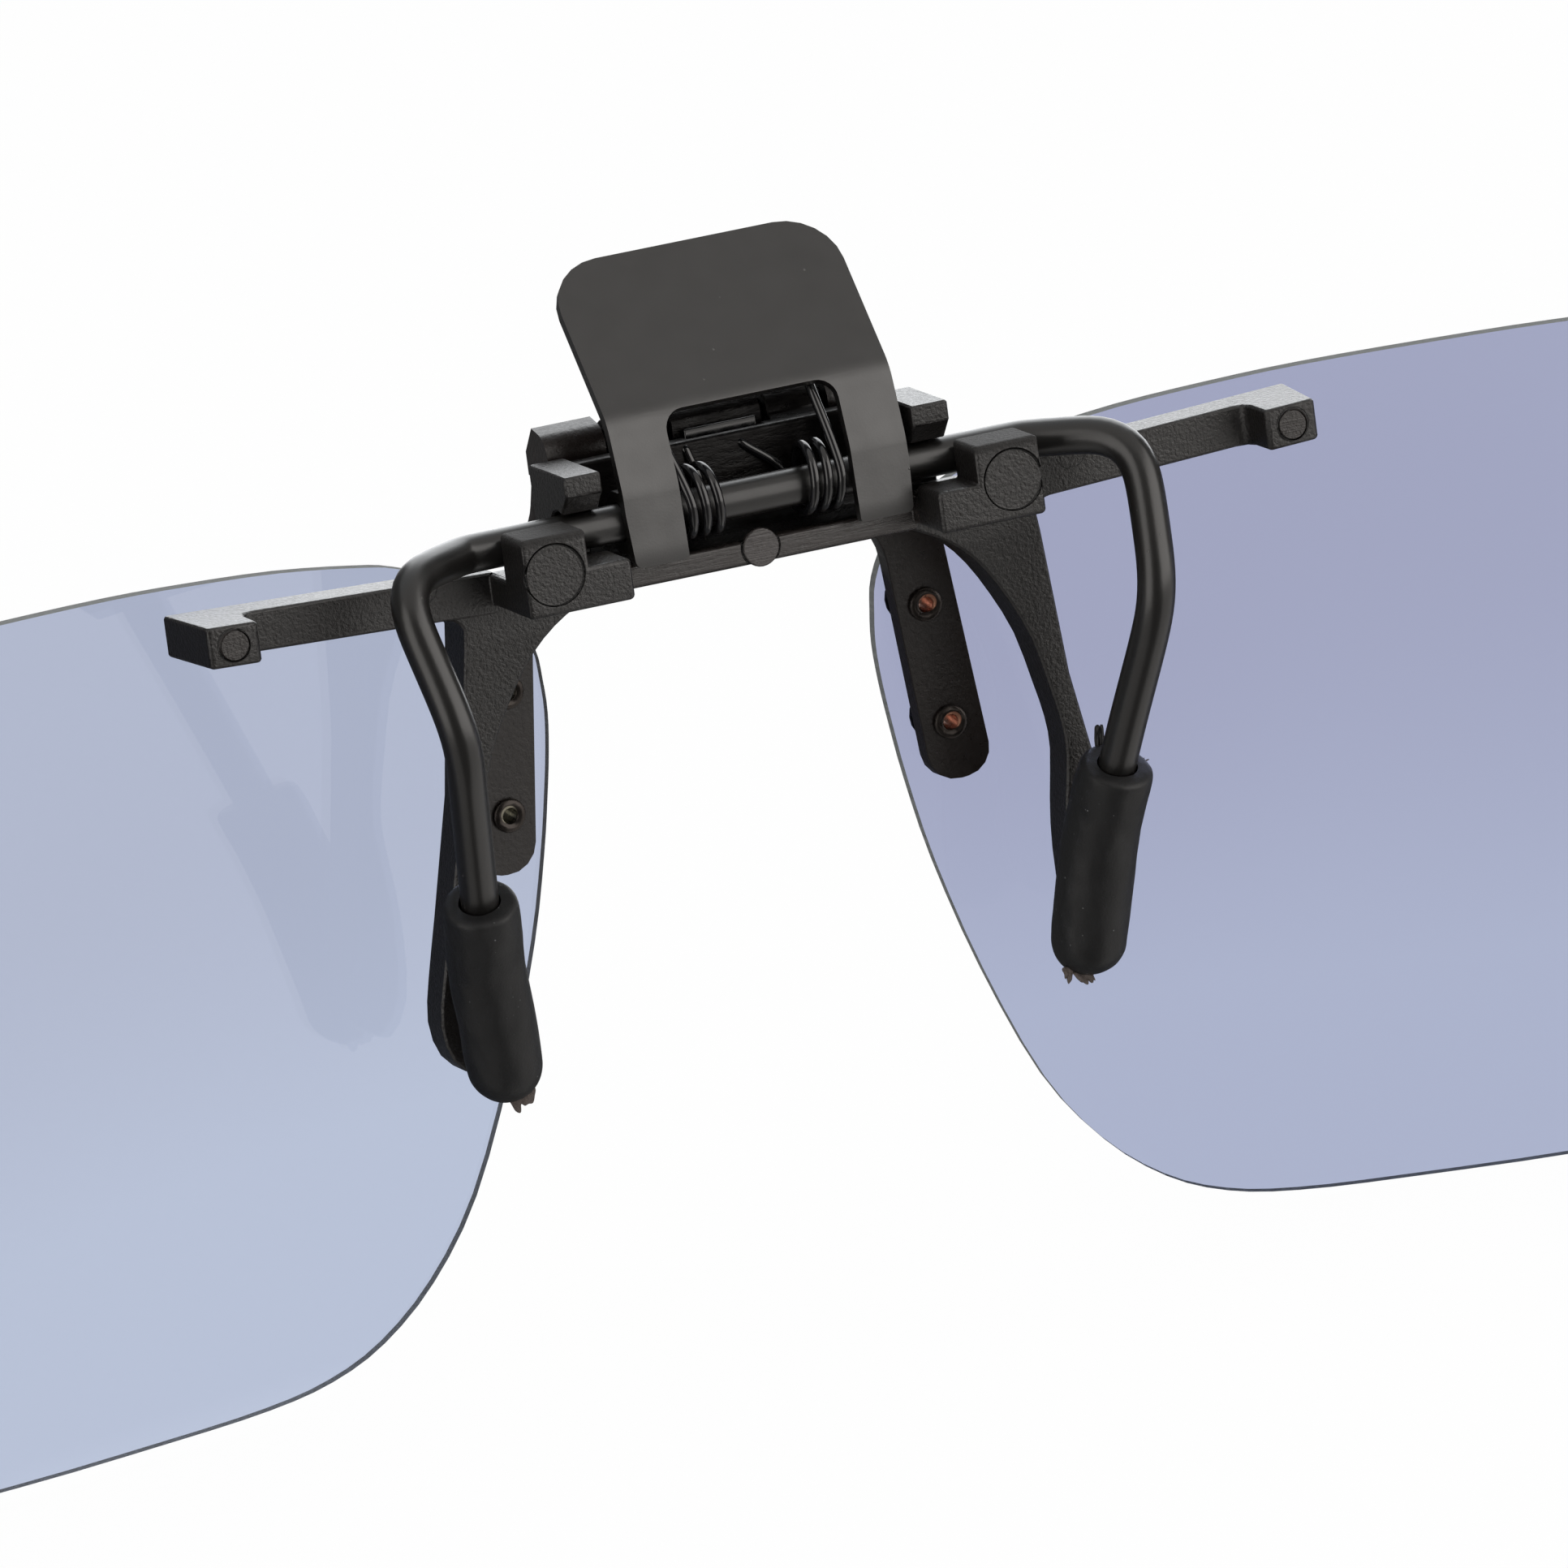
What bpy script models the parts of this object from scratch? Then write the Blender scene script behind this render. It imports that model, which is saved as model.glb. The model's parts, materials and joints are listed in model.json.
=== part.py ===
"""Flip-up clip-on sunglasses.

A moulded clip body sits over the bridge of a pair of spectacles. Two front jaws hang from it, and a
bent wire with rubber sleeves closes on them from behind, pressed by two torsion springs and opened
with a thumb tab. The tinted lenses hang from a second moulding that flips up on a hinge pin.

Lengths are in metres. X runs to the wearer's right, Y away from the wearer and Z up. The origin is
the middle of the underside of the body's rail, in the plane of the front jaws' clamping faces.
"""

import math

import bmesh
import bpy
from mathutils import Matrix, Vector

MM = 0.001

# Clearances
RUNNING_CLEARANCE = 0.06 * MM
SEAT_GAP = 0.1 * MM
OVERLAP = 0.2 * MM
OVERRUN = 1.0 * MM

# Edges of the mouldings
EDGE_RADIUS = 0.2 * MM
EDGE_STEPS = 2
FILLET_STEPS = 4
ROUND_STEPS = 28

# Claw wire and the shaft that it forms between the bosses
WIRE_DIAMETER = 1.7 * MM
WIRE_FACETS = 16
SHAFT_BACK = 1.3 * MM
SHAFT_HEIGHT = 3.03 * MM
CLAW_PLAY = -0.45 * MM
CLAW_SHOULDER = 13.3 * MM
CLAW_CORNER_X = 17.65 * MM
CLAW_CORNER_BACK = 3.1 * MM
CLAW_KNEE_X = 16.55 * MM
CLAW_KNEE_BACK = 6.15 * MM
CLAW_KNEE_DROP = 6.75 * MM
CLAW_BEND_RADII = (1.6 * MM, 2.2 * MM, 3.5 * MM, 8.0 * MM)
CLAW_BEND_STEPS = 7

# Rubber sleeves on the claws
SLEEVE_DIAMETER = 3.5 * MM
SLEEVE_LENGTH = 10.6 * MM
SLEEVE_RIM_RADIUS = 0.35 * MM
SLEEVE_END_WALL = 1.3 * MM
SLEEVE_BEND_X = 14.7 * MM
SLEEVE_BEND_DROP = 18.5 * MM
SLEEVE_BEND_GAP = 0.85 * MM
SLEEVE_CONTACT_X = 13.95 * MM
SLEEVE_CONTACT_GAP = 0.15 * MM
SLEEVE_OVERHANG = 1.1 * MM
SLEEVE_RINGS = 9
SLEEVE_TIP_RINGS = 5
SLEEVE_FACETS = 20

# Front jaws of the clip body
JAW_ROOT_THICKNESS = 2.6 * MM
JAW_TIP_THICKNESS = 1.8 * MM
JAW_DROP = 20.7 * MM
JAW_REACH = 16.6 * MM
JAW_TILT = math.radians(6.4)
JAW_TILT_START = 1.5 * MM
JAW_TOP = 1.2 * MM
JAW_ROOT_RISE = 0.12 * MM
JAW_ROOT_INNER = 7.0 * MM
JAW_ROOT_OUTER = 13.55 * MM
JAW_FILLET_REACH = 1.7 * MM
JAW_INNER_SHARES = (
    (0.445, 0.006),
    (0.533, 0.041),
    (0.602, 0.08),
    (0.663, 0.135),
    (0.723, 0.213),
    (0.78, 0.309),
    (0.819, 0.425),
    (0.843, 0.507),
    (0.85, 0.58),
    (0.835, 0.69),
    (0.828, 0.8),
)
JAW_OUTER_SHARES = ((0.996, 0.885), (0.98, 0.79), (0.945, 0.66), (0.878, 0.4))
JAW_TIP_SHARES = ((0.842, 0.93), (0.905, 1.0), (0.97, 0.965))

# Rail, wall and ears of the clip body
RAIL_BACK = 1.5 * MM
RAIL_HEIGHT = 1.1 * MM
RAIL_SLOPE_START = 0.6 * MM
RAIL_SLOPE_TOP = 1.9 * MM
RAIL_HALF_LENGTH = 7.5 * MM
WALL_FORWARD = 0.6 * MM
WALL_THICKNESS = 1.0 * MM
WALL_TOP = 5.6 * MM
GATE_RADIUS = 0.87 * MM
GATE_HEIGHT = 0.7 * MM
GATE_PROUD = 0.08 * MM
EAR_INNER = 7.4 * MM
EAR_OUTER = 9.13 * MM
EAR_BACK = 2.7 * MM
EAR_PROUD = 0.1 * MM
EAR_TOP = 5.75 * MM
EAR_BOTTOM = 0.4 * MM
EAR_LIP_HEIGHT = 0.9 * MM
EAR_RELIEF = 0.2 * MM

# Bosses that hold the shaft from behind
BOSS_INNER = 9.25 * MM
BOSS_OUTER = 12.3 * MM
BOSS_BACK = 4.9 * MM
BOSS_BOTTOM = 0.3 * MM
BOSS_TOP = 3.86 * MM
LEDGE_INNER = 7.3 * MM
LEDGE_TOP = 2.16 * MM
CHANNEL_FLOOR = 1.74 * MM
PIN_MARK_RADIUS = 1.37 * MM
PIN_MARK_DEPTH = 0.06 * MM
PIN_MARK_HEIGHT = 2.1 * MM
PIN_MARK_X = 10.9 * MM

# Side arms with their end hooks
ARM_START = 12.0 * MM
ARM_BACK = 0.3 * MM
ARM_THICKNESS = 2.1 * MM
ARM_HEIGHT = 1.85 * MM
ARM_BOTTOM = -0.07 * MM
ARM_RISE = math.radians(2.6)
ARM_EDGE_RADIUS = 0.28 * MM
HOOK_INNER = 24.0 * MM
HOOK_WIDTH = 2.4 * MM
HOOK_FLARE = 0.45 * MM
HOOK_BACK = 2.7 * MM
HOOK_FILLET = 0.6 * MM
HOOK_MARK_RADIUS = 0.7 * MM
HOOK_MARK_PROUD = 0.05 * MM

# Thumb tab, a bent sheet with two legs and two ears on the shaft
TAB_THICKNESS = 0.5 * MM
TAB_HALF_WIDTH = 6.74 * MM
TAB_FOOT_HALF_WIDTH = 6.6 * MM
TAB_WINDOW_HALF_WIDTH = 4.09 * MM
TAB_PLAY = 0.26 * MM
TAB_WINDOW_CORNER = 0.95 * MM
TAB_TOP_CORNER = 2.5 * MM
TAB_FOOT_CORNER = 0.35 * MM
TAB_FOOT_HEIGHT = 1.15 * MM
TAB_KNEE_HEIGHT = 4.5 * MM
TAB_BEND_HEIGHT = 7.6 * MM
TAB_WINDOW_HEIGHT = 7.6 * MM
TAB_TOP_HEIGHT = 13.8 * MM
TAB_FOOT_LEAN = 0.12 * MM
TAB_KNEE_LEAN = 0.1 * MM
TAB_BEND_LEAN = 0.95 * MM
TAB_TOP_LEAN = 6.5 * MM
TAB_BEND_RADII = (3.0 * MM, 2.6 * MM)
TAB_BEND_STEPS = 5
TAB_EAR_RADIUS = 1.45 * MM
TAB_TAPER_HEIGHT = 3.5 * MM

# Torsion springs round the shaft
SPRING_WIRE = 0.45 * MM
SPRING_MEAN_RADIUS = 1.55 * MM
SPRING_PITCH = 0.88 * MM
SPRING_START = 3.79 * MM
SPRING_TURNS = 3
SPRING_POINTS_PER_TURN = 12
SPRING_LEG_LEAN = 0.65 * MM
SPRING_PRESS_HEIGHT = 8.35 * MM
SPRING_WALL_LEG = 2.5 * MM
SPRING_WALL_LEANS = (math.radians(4), math.radians(38))

# Flip hinge
HINGE_FORWARD = 2.95 * MM
HINGE_HEIGHT = 5.75 * MM
KNUCKLE_RADIUS = 1.05 * MM
CAM_FLAT = 0.95 * MM
CAM_HALF_LENGTH = 2.1 * MM
BODY_KNUCKLE_INNER = 2.4 * MM
BODY_KNUCKLE_OUTER = 5.0 * MM
BAR_INNER = 5.3 * MM
BAR_OUTER = 8.1 * MM
BAR_CROWN = 1.2 * MM
BAR_CROWN_FORWARD = 0.55 * MM
KNUCKLE_WEB_DROP = 1.5 * MM
HINGE_PIN_DIAMETER = 1.0 * MM
HINGE_PIN_BLIND = 0.7 * MM
HINGE_PIN_RECESS = 0.25 * MM

# Leaf spring that rides on the cam
LEAF_THICKNESS = 0.2 * MM
LEAF_HALF_WIDTH = 1.7 * MM
LEAF_BOTTOM = 3.3 * MM
LEAF_RISE = 2.2 * MM
LEAF_BEND_DROP = 0.8 * MM
LEAF_POCKET_DEPTH = 0.6 * MM

# Lens bridge: a panel with a splayed plate for each lens
SEAT_FORWARD = 5.58 * MM
LENS_TILT = math.radians(3.6)
LENS_WRAP = math.radians(2.9)
WRAP_START = 8.0 * MM
PLATE_THICKNESS = 1.0 * MM
PLATE_INNER_X = 8.4 * MM
PLATE_INNER_Z = -1.6 * MM
PLATE_WIDTH = 2.75 * MM
PLATE_SPLAY = math.radians(5.8)
PLATE_LENGTH = 11.8 * MM
PLATE_FLARE = 0.2 * MM
PANEL_LEAN = math.radians(6.6)
PANEL_LEAN_START = -1.5 * MM
PANEL_TOP = 5.95 * MM
PANEL_HALF_WIDTH = 7.45 * MM
PANEL_CORNER = 0.8 * MM
PANEL_WAIST_X = 7.85 * MM
PANEL_WAIST_Z = 2.4 * MM
PANEL_NECK_X = 9.25 * MM
PANEL_NECK_Z = 0.25 * MM
PANEL_BOTTOM = 0.4 * MM
PANEL_ARCH_HALF_WIDTH = 6.2 * MM

# Rivets and their front washers
RIVET_DROPS = (4.95 * MM, 10.5 * MM)
RIVET_X = (10.06 * MM, 10.63 * MM)
RIVET_RADIUS = 0.52 * MM
RIVET_BORE_RADIUS = 0.34 * MM
RIVET_FLANGE_RADIUS = 0.78 * MM
RIVET_FLANGE_THICKNESS = 0.2 * MM
WASHER_RADIUS = 1.25 * MM
WASHER_THICKNESS = 0.35 * MM

# Lenses
LENS_THICKNESS = 0.65 * MM
LENS_GAP = 0.15 * MM
LENS_WIDTH = 59.5 * MM
LENS_HEIGHT = 38.5 * MM
LENS_NASAL_X = 7.9 * MM
LENS_TOP = 3.0 * MM
LENS_PLAY = 0.17 * MM
LENS_ROLL = math.radians(0.5)
LENS_CURVE_RADIUS = 150.0 * MM
LENS_RINGS = 6
LENS_OUTLINE_STEPS = 3
LENS_OUTLINE_SHARES = (
    (0.0013, 0.7896),
    (0.0, 0.7506),
    (0.0024, 0.7039),
    (0.0072, 0.6519),
    (0.0148, 0.5844),
    (0.0299, 0.4831),
    (0.0593, 0.3429),
    (0.0987, 0.2013),
    (0.1408, 0.1117),
    (0.1866, 0.0538),
    (0.2328, 0.0234),
    (0.2874, 0.0091),
    (0.3714, 0.0026),
    (0.5059, 0.0),
    (0.6571, 0.0104),
    (0.8084, 0.0519),
    (0.9109, 0.1403),
    (0.9697, 0.2831),
    (0.9966, 0.4753),
    (0.9997, 0.6675),
    (0.9731, 0.8364),
    (0.9076, 0.9312),
    (0.795, 0.9779),
    (0.6487, 0.9961),
    (0.5395, 1.0),
    (0.4437, 0.9987),
    (0.3462, 0.9956),
    (0.279, 0.9901),
    (0.205, 0.981),
    (0.1395, 0.9662),
    (0.1076, 0.9545),
    (0.0571, 0.9221),
    (0.0202, 0.8727),
    (0.005, 0.8286),
)

WIRE_RADIUS = WIRE_DIAMETER / 2
WALL_FRONT = WALL_FORWARD + WALL_THICKNESS
SHAFT = Vector((0, -SHAFT_BACK, SHAFT_HEIGHT))
HINGE = Vector((0, HINGE_FORWARD, HINGE_HEIGHT))
TAB_LEG_BACK = SHAFT_BACK + WIRE_RADIUS + RUNNING_CLEARANCE + TAB_THICKNESS


def sides():
    """The two halves, each with the sign of its X."""
    return (("left", -1), ("right", 1))


def clear_scene():
    """Empties the startup scene."""
    for obj in list(bpy.data.objects):
        bpy.data.objects.remove(obj, do_unlink=True)


def material(name, colour, roughness, metallic=0.0, alpha=1.0):
    """A plain finish for one kind of piece."""
    made = bpy.data.materials.new(name)
    made.use_nodes = True
    shader = made.node_tree.nodes["Principled BSDF"]
    shader.inputs["Base Color"].default_value = (*colour, 1)
    shader.inputs["Roughness"].default_value = roughness
    shader.inputs["Metallic"].default_value = metallic
    shader.inputs["Alpha"].default_value = alpha
    made.diffuse_color = (*colour, alpha)
    return made


def add_object(name, data):
    """Links new geometry into the scene."""
    obj = bpy.data.objects.new(name, data)
    bpy.context.scene.collection.objects.link(obj)
    return obj


def from_bmesh(name, bm):
    """An object from a finished bmesh, with its faces pointing out."""
    bmesh.ops.recalc_face_normals(bm, faces=bm.faces)
    mesh = bpy.data.meshes.new(name)
    bm.to_mesh(mesh)
    bm.free()
    return add_object(name, mesh)


def corner_arc(before, corner, after, radius, steps):
    """The points of a fillet between two straight runs, in the plane or in space."""
    towards_before = (before - corner).normalized()
    towards_after = (after - corner).normalized()
    half = towards_before.angle(towards_after) / 2
    longest = min((before - corner).length, (after - corner).length) / 2
    reach = min(radius / math.tan(half), longest)
    radius = reach * math.tan(half)
    centre = corner + (towards_before + towards_after).normalized() * (radius / math.sin(half))
    first = corner + towards_before * reach - centre
    last = corner + towards_after * reach - centre
    sweep = first.angle(last)
    points = []
    for step in range(steps + 1):
        share = step / steps
        along = first * math.sin((1 - share) * sweep) + last * math.sin(share * sweep)
        points.append(centre + along / math.sin(sweep))
    return points


def filleted(points, radii, steps=FILLET_STEPS):
    """A closed outline with its corners rounded. A radius of zero keeps a corner sharp."""
    corners = [Vector(point) for point in points]
    outline = []
    for index, radius in enumerate(radii):
        before, corner = corners[index - 1], corners[index]
        after = corners[(index + 1) % len(corners)]
        if radius:
            outline += corner_arc(before, corner, after, radius, steps)
        else:
            outline.append(corner)
    return outline


def bent_path(points, radii, steps):
    """An open line in space whose inner points are rounded bends."""
    corners = [Vector(point) for point in points]
    path = [corners[0]]
    for index, radius in enumerate(radii, start=1):
        path += corner_arc(corners[index - 1], corners[index], corners[index + 1], radius, steps)
    return path + [corners[-1]]


def smooth_line(points, steps, closed=False):
    """A smooth line through points, as a Catmull-Rom spline."""
    points = [Vector(point) for point in points]
    count = len(points)
    runs = count if closed else count - 1
    line = []
    for index in range(runs):
        at = [index - 1, index, index + 1, index + 2]
        if closed:
            a, b, c, d = (points[place % count] for place in at)
        else:
            a, b, c, d = (points[min(max(place, 0), count - 1)] for place in at)
        for step in range(steps):
            t = step / steps
            bend = (2 * a - 5 * b + 4 * c - d) * t**2 + (3 * b - a - 3 * c + d) * t**3
            line.append((2 * b + (c - a) * t + bend) / 2)
    return line if closed else line + [points[-1]]


def arc(centre, radius, start, end, steps):
    """Points on a circular arc, with its angles in degrees from the first axis."""
    angles = [math.radians(start + (end - start) * step / steps) for step in range(steps + 1)]
    return [Vector((centre[0] + radius * math.cos(a), centre[1] + radius * math.sin(a))) for a in angles]


def prism(outline, low, high, axis):
    """An outline extruded along an axis."""
    along = "XYZ".index(axis)
    across, up = [index for index in range(3) if index != along]
    bm = bmesh.new()
    ends = []
    for level in (low, high):
        ring = []
        for point in outline:
            place = Vector()
            place[across], place[up], place[along] = point[0], point[1], level
            ring.append(bm.verts.new(place))
        bm.faces.new(ring)
        ends.append(ring)
    for index in range(len(outline)):
        following = (index + 1) % len(outline)
        bm.faces.new((ends[0][index], ends[0][following], ends[1][following], ends[1][index]))
    return from_bmesh("prism", bm)


def box(low, high):
    """A rectangular block between two corners."""
    outline = [(low[0], low[1]), (high[0], low[1]), (high[0], high[1]), (low[0], high[1])]
    return prism(outline, low[2], high[2], "Z")


def drum(centre, radius, low, high, axis, steps=ROUND_STEPS):
    """A cylinder along an axis."""
    return prism(arc(centre, radius, 0, 360, steps)[:-1], low, high, axis)


def bake(obj):
    """Replaces an object's mesh with the mesh that its modifiers make."""
    graph = bpy.context.evaluated_depsgraph_get()
    mesh = bpy.data.meshes.new_from_object(obj.evaluated_get(graph))
    obj.modifiers.clear()
    obj.data = mesh
    return obj


def eased(obj, radius=EDGE_RADIUS, steps=EDGE_STEPS):
    """Rounds an object's sharp edges."""
    bevel = obj.modifiers.new("eased_edges", "BEVEL")
    bevel.width = radius
    bevel.segments = steps
    bevel.limit_method = "ANGLE"
    bevel.angle_limit = math.radians(40)
    return bake(obj)


def triangulated(obj):
    """Splits an object's faces into triangles, which are flat for certain."""
    bm = bmesh.new()
    bm.from_mesh(obj.data)
    bmesh.ops.triangulate(bm, faces=bm.faces)
    bm.to_mesh(obj.data)
    bm.free()
    return obj


def combined(target, tools, operation):
    """Joins tools to the target or cuts them away in one step, and removes them."""
    group = bpy.data.collections.new("tools")
    for tool in tools:
        group.objects.link(triangulated(tool))
    modifier = triangulated(target).modifiers.new("boolean", "BOOLEAN")
    modifier.operation = operation
    modifier.solver = "EXACT"
    modifier.operand_type = "COLLECTION"
    modifier.collection = group
    bake(target)
    for tool in tools:
        bpy.data.objects.remove(tool, do_unlink=True)
    bpy.data.collections.remove(group)
    return target


def fused(pieces):
    """One body from pieces that overlap."""
    return combined(pieces[0], pieces[1:], "UNION")


def cut(body, tools):
    """Cuts each tool out of the body."""
    return combined(body, tools, "DIFFERENCE")


def reshape(obj, place):
    """Moves each vertex to where a function puts it."""
    for vertex in obj.data.vertices:
        vertex.co = place(vertex.co.copy())
    bm = bmesh.new()
    bm.from_mesh(obj.data)
    bmesh.ops.recalc_face_normals(bm, faces=bm.faces)
    bm.to_mesh(obj.data)
    bm.free()
    return obj


def sliced(obj, axis, levels):
    """Adds edge loops where planes across an axis meet the mesh, so that it can bend there."""
    normal = Vector((axis == "X", axis == "Y", axis == "Z"))
    bm = bmesh.new()
    bm.from_mesh(obj.data)
    for level in levels:
        geometry = bm.verts[:] + bm.edges[:] + bm.faces[:]
        bmesh.ops.bisect_plane(bm, geom=geometry, plane_co=normal * level, plane_no=normal)
    bm.to_mesh(obj.data)
    bm.free()
    return obj


def tube(name, points, radius, resolution):
    """A round wire along a line of points."""
    curve = bpy.data.curves.new(name, "CURVE")
    curve.dimensions = "3D"
    curve.bevel_depth = radius
    curve.bevel_resolution = resolution
    curve.use_fill_caps = True
    spline = curve.splines.new("POLY")
    spline.points.add(len(points) - 1)
    for point, place in zip(spline.points, points):
        point.co = (*place, 1)
    return add_object(name, curve)


def rings_along(name, stations, facets):
    """A closed solid from rings of given centre, direction and radius, capped at both ends."""
    bm = bmesh.new()
    rings = []
    for centre, direction, radius in stations:
        side = Vector((1, 0, 0)).cross(direction).normalized()
        other = direction.cross(side).normalized()
        ring = []
        for step in range(facets):
            angle = 2 * math.pi * step / facets
            ring.append(bm.verts.new(centre + (side * math.cos(angle) + other * math.sin(angle)) * radius))
        rings.append(ring)
    for ring, following in zip(rings, rings[1:]):
        for step in range(facets):
            after = (step + 1) % facets
            bm.faces.new((ring[step], ring[after], following[after], following[step]))
    bm.faces.new(rings[0])
    bm.faces.new(rings[-1])
    return from_bmesh(name, bm)


def finish_piece(obj, name, surface, origin=None):
    """Names a piece, gives it its material and smooth shading, and moves its origin."""
    obj.name = name
    obj.data.name = name
    obj.data.materials.clear()
    obj.data.materials.append(surface)
    if origin is not None:
        obj.data.transform(Matrix.Translation(-origin))
        obj.location = origin
    if obj.type == "MESH":
        obj.data.shade_smooth()
        obj.data.set_sharp_from_angle(angle=math.radians(35))
    return obj


def jaw(sign):
    """A front jaw: a horn that narrows from the rail to a waist and widens to a round tip."""
    inner = [(JAW_REACH * x, -JAW_DROP * z) for x, z in JAW_INNER_SHARES]
    tip = [(JAW_REACH * x, -JAW_DROP * z) for x, z in JAW_TIP_SHARES]
    outer = [(JAW_REACH * x, -JAW_DROP * z) for x, z in JAW_OUTER_SHARES]
    arm_level = ARM_BOTTOM + math.tan(ARM_RISE) * JAW_FILLET_REACH
    corner = Vector((JAW_ROOT_OUTER, ARM_BOTTOM))
    fillet_end = Vector((JAW_ROOT_OUTER + JAW_FILLET_REACH, arm_level))
    fillet = corner_arc(Vector(outer[-1]), corner, fillet_end, JAW_FILLET_REACH, FILLET_STEPS)
    outline = smooth_line([(JAW_ROOT_INNER, JAW_ROOT_RISE), *inner, *tip, *outer], 2) + fillet[1:]
    outline += [Vector((fillet[-1].x, ARM_BOTTOM + ARM_HEIGHT / 2)), Vector((JAW_ROOT_OUTER, JAW_TOP))]
    outline.append(Vector((JAW_ROOT_INNER, JAW_TOP)))
    plate = prism([(sign * point.x, point.y) for point in outline], 0, JAW_ROOT_THICKNESS, "Y")
    plate = eased(sliced(plate, "Z", [-JAW_TILT_START]))
    taper = 1 - JAW_TIP_THICKNESS / JAW_ROOT_THICKNESS

    def lean(place):
        below = max(0, -JAW_TILT_START - place.z)
        thinned = place.y * (1 - taper * below / (JAW_DROP - JAW_TILT_START))
        place.y = thinned + below * math.tan(JAW_TILT)
        return place

    return reshape(plate, lean)


def spine():
    """The channel-shaped middle of the body: the rail below the shaft and the wall in front of it."""
    section = [
        (-RAIL_BACK, 0),
        (WALL_FRONT, 0),
        (WALL_FRONT, WALL_TOP),
        (WALL_FORWARD, WALL_TOP),
        (WALL_FORWARD, RAIL_SLOPE_TOP),
        (-RAIL_SLOPE_START, RAIL_HEIGHT),
        (-RAIL_BACK, RAIL_HEIGHT),
    ]
    radii = (EDGE_RADIUS, 0, EDGE_RADIUS, EDGE_RADIUS, 0, 0, EDGE_RADIUS)
    return prism(filleted(section, radii, EDGE_STEPS), -RAIL_HALF_LENGTH, RAIL_HALF_LENGTH, "X")


def ear(sign):
    """An end block whose lip hooks over the shaft, with the wall in front of the shaft below it."""
    relief = WIRE_RADIUS + EAR_RELIEF
    lip_bottom = EAR_TOP - EAR_LIP_HEIGHT
    front = WALL_FRONT + EAR_PROUD
    hollow = arc((-SHAFT_BACK, SHAFT_HEIGHT), relief, 120, 0, FILLET_STEPS)
    section = [(-EAR_BACK, EAR_TOP), (-EAR_BACK, lip_bottom), *hollow]
    section += [(relief - SHAFT_BACK, EAR_BOTTOM), (front, EAR_BOTTOM), (front, EAR_TOP)]
    low, high = sorted((sign * EAR_INNER, sign * EAR_OUTER))
    return eased(prism(section, low, high, "X"), EDGE_RADIUS / 2)


def boss(sign):
    """The L-shaped block behind the shaft, with a low ledge on its inner side."""
    channel = -SHAFT_BACK - WIRE_RADIUS - RUNNING_CLEARANCE
    tall = [(-BOSS_BACK, BOSS_BOTTOM), (OVERLAP, BOSS_BOTTOM), (OVERLAP, CHANNEL_FLOOR)]
    tall += [(channel, CHANNEL_FLOOR), (channel, BOSS_TOP), (-BOSS_BACK, BOSS_TOP)]
    low_part = [(-BOSS_BACK, BOSS_BOTTOM), (OVERLAP, BOSS_BOTTOM), (OVERLAP, CHANNEL_FLOOR)]
    low_part += [(channel, CHANNEL_FLOOR), (channel, LEDGE_TOP), (-BOSS_BACK, LEDGE_TOP)]
    low, high = sorted((sign * BOSS_INNER, sign * BOSS_OUTER))
    block = eased(prism(tall, low, high, "X"))
    inner_end = sign * (BOSS_INNER + EDGE_RADIUS * 2)
    low, high = sorted((sign * LEDGE_INNER, inner_end))
    ledge = eased(prism(low_part, low, high, "X"))
    return fused([block, ledge])


def arm(sign):
    """A side arm that rises outwards and ends in a hook pointing back."""
    back, front = -ARM_BACK, ARM_THICKNESS - ARM_BACK
    outline = [
        (ARM_START, back),
        (HOOK_INNER, back),
        (HOOK_INNER, -HOOK_BACK),
        (HOOK_INNER + HOOK_WIDTH, -HOOK_BACK),
        (HOOK_INNER + HOOK_WIDTH + HOOK_FLARE, front),
        (ARM_START, front),
    ]
    radii = (0, HOOK_FILLET, EDGE_RADIUS, EDGE_RADIUS, EDGE_RADIUS, 0)
    outline = [(sign * point.x, point.y) for point in filleted(outline, radii, EDGE_STEPS)]
    bar = eased(prism(outline, ARM_BOTTOM, ARM_BOTTOM + ARM_HEIGHT, "Z"), ARM_EDGE_RADIUS)

    def rise(place):
        place.z += (abs(place.x) - ARM_START) * math.tan(ARM_RISE)
        return place

    return reshape(bar, rise)


def hook_mark(sign):
    """The round mark on the end face of a hook, where the moulding left its tool."""
    x = HOOK_INNER + HOOK_WIDTH / 2
    z = ARM_BOTTOM + ARM_HEIGHT / 2 + (x - ARM_START) * math.tan(ARM_RISE)
    back = -HOOK_BACK - HOOK_MARK_PROUD
    return drum((sign * x, z), HOOK_MARK_RADIUS, back, OVERLAP - HOOK_BACK, "Y")


def body_knuckle(sign):
    """A hinge knuckle on the front of the wall."""
    barrel = arc(HINGE.yz, KNUCKLE_RADIUS, -75, 180, ROUND_STEPS // 2)
    root = WALL_FRONT - OVERLAP
    outline = [(root, HINGE_HEIGHT - KNUCKLE_RADIUS - KNUCKLE_WEB_DROP), *barrel]
    outline.append((root, WALL_TOP - EDGE_RADIUS))
    low, high = sorted((sign * BODY_KNUCKLE_INNER, sign * BODY_KNUCKLE_OUTER))
    return prism(outline, low, high, "X")


def hinge_bore(end):
    """The bore of the hinge pin, from its blind end out through the other."""
    radius = HINGE_PIN_DIAMETER / 2 + RUNNING_CLEARANCE
    return drum(HINGE.yz, radius, HINGE_PIN_BLIND - BAR_OUTER, end, "X", ROUND_STEPS // 2)


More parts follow.
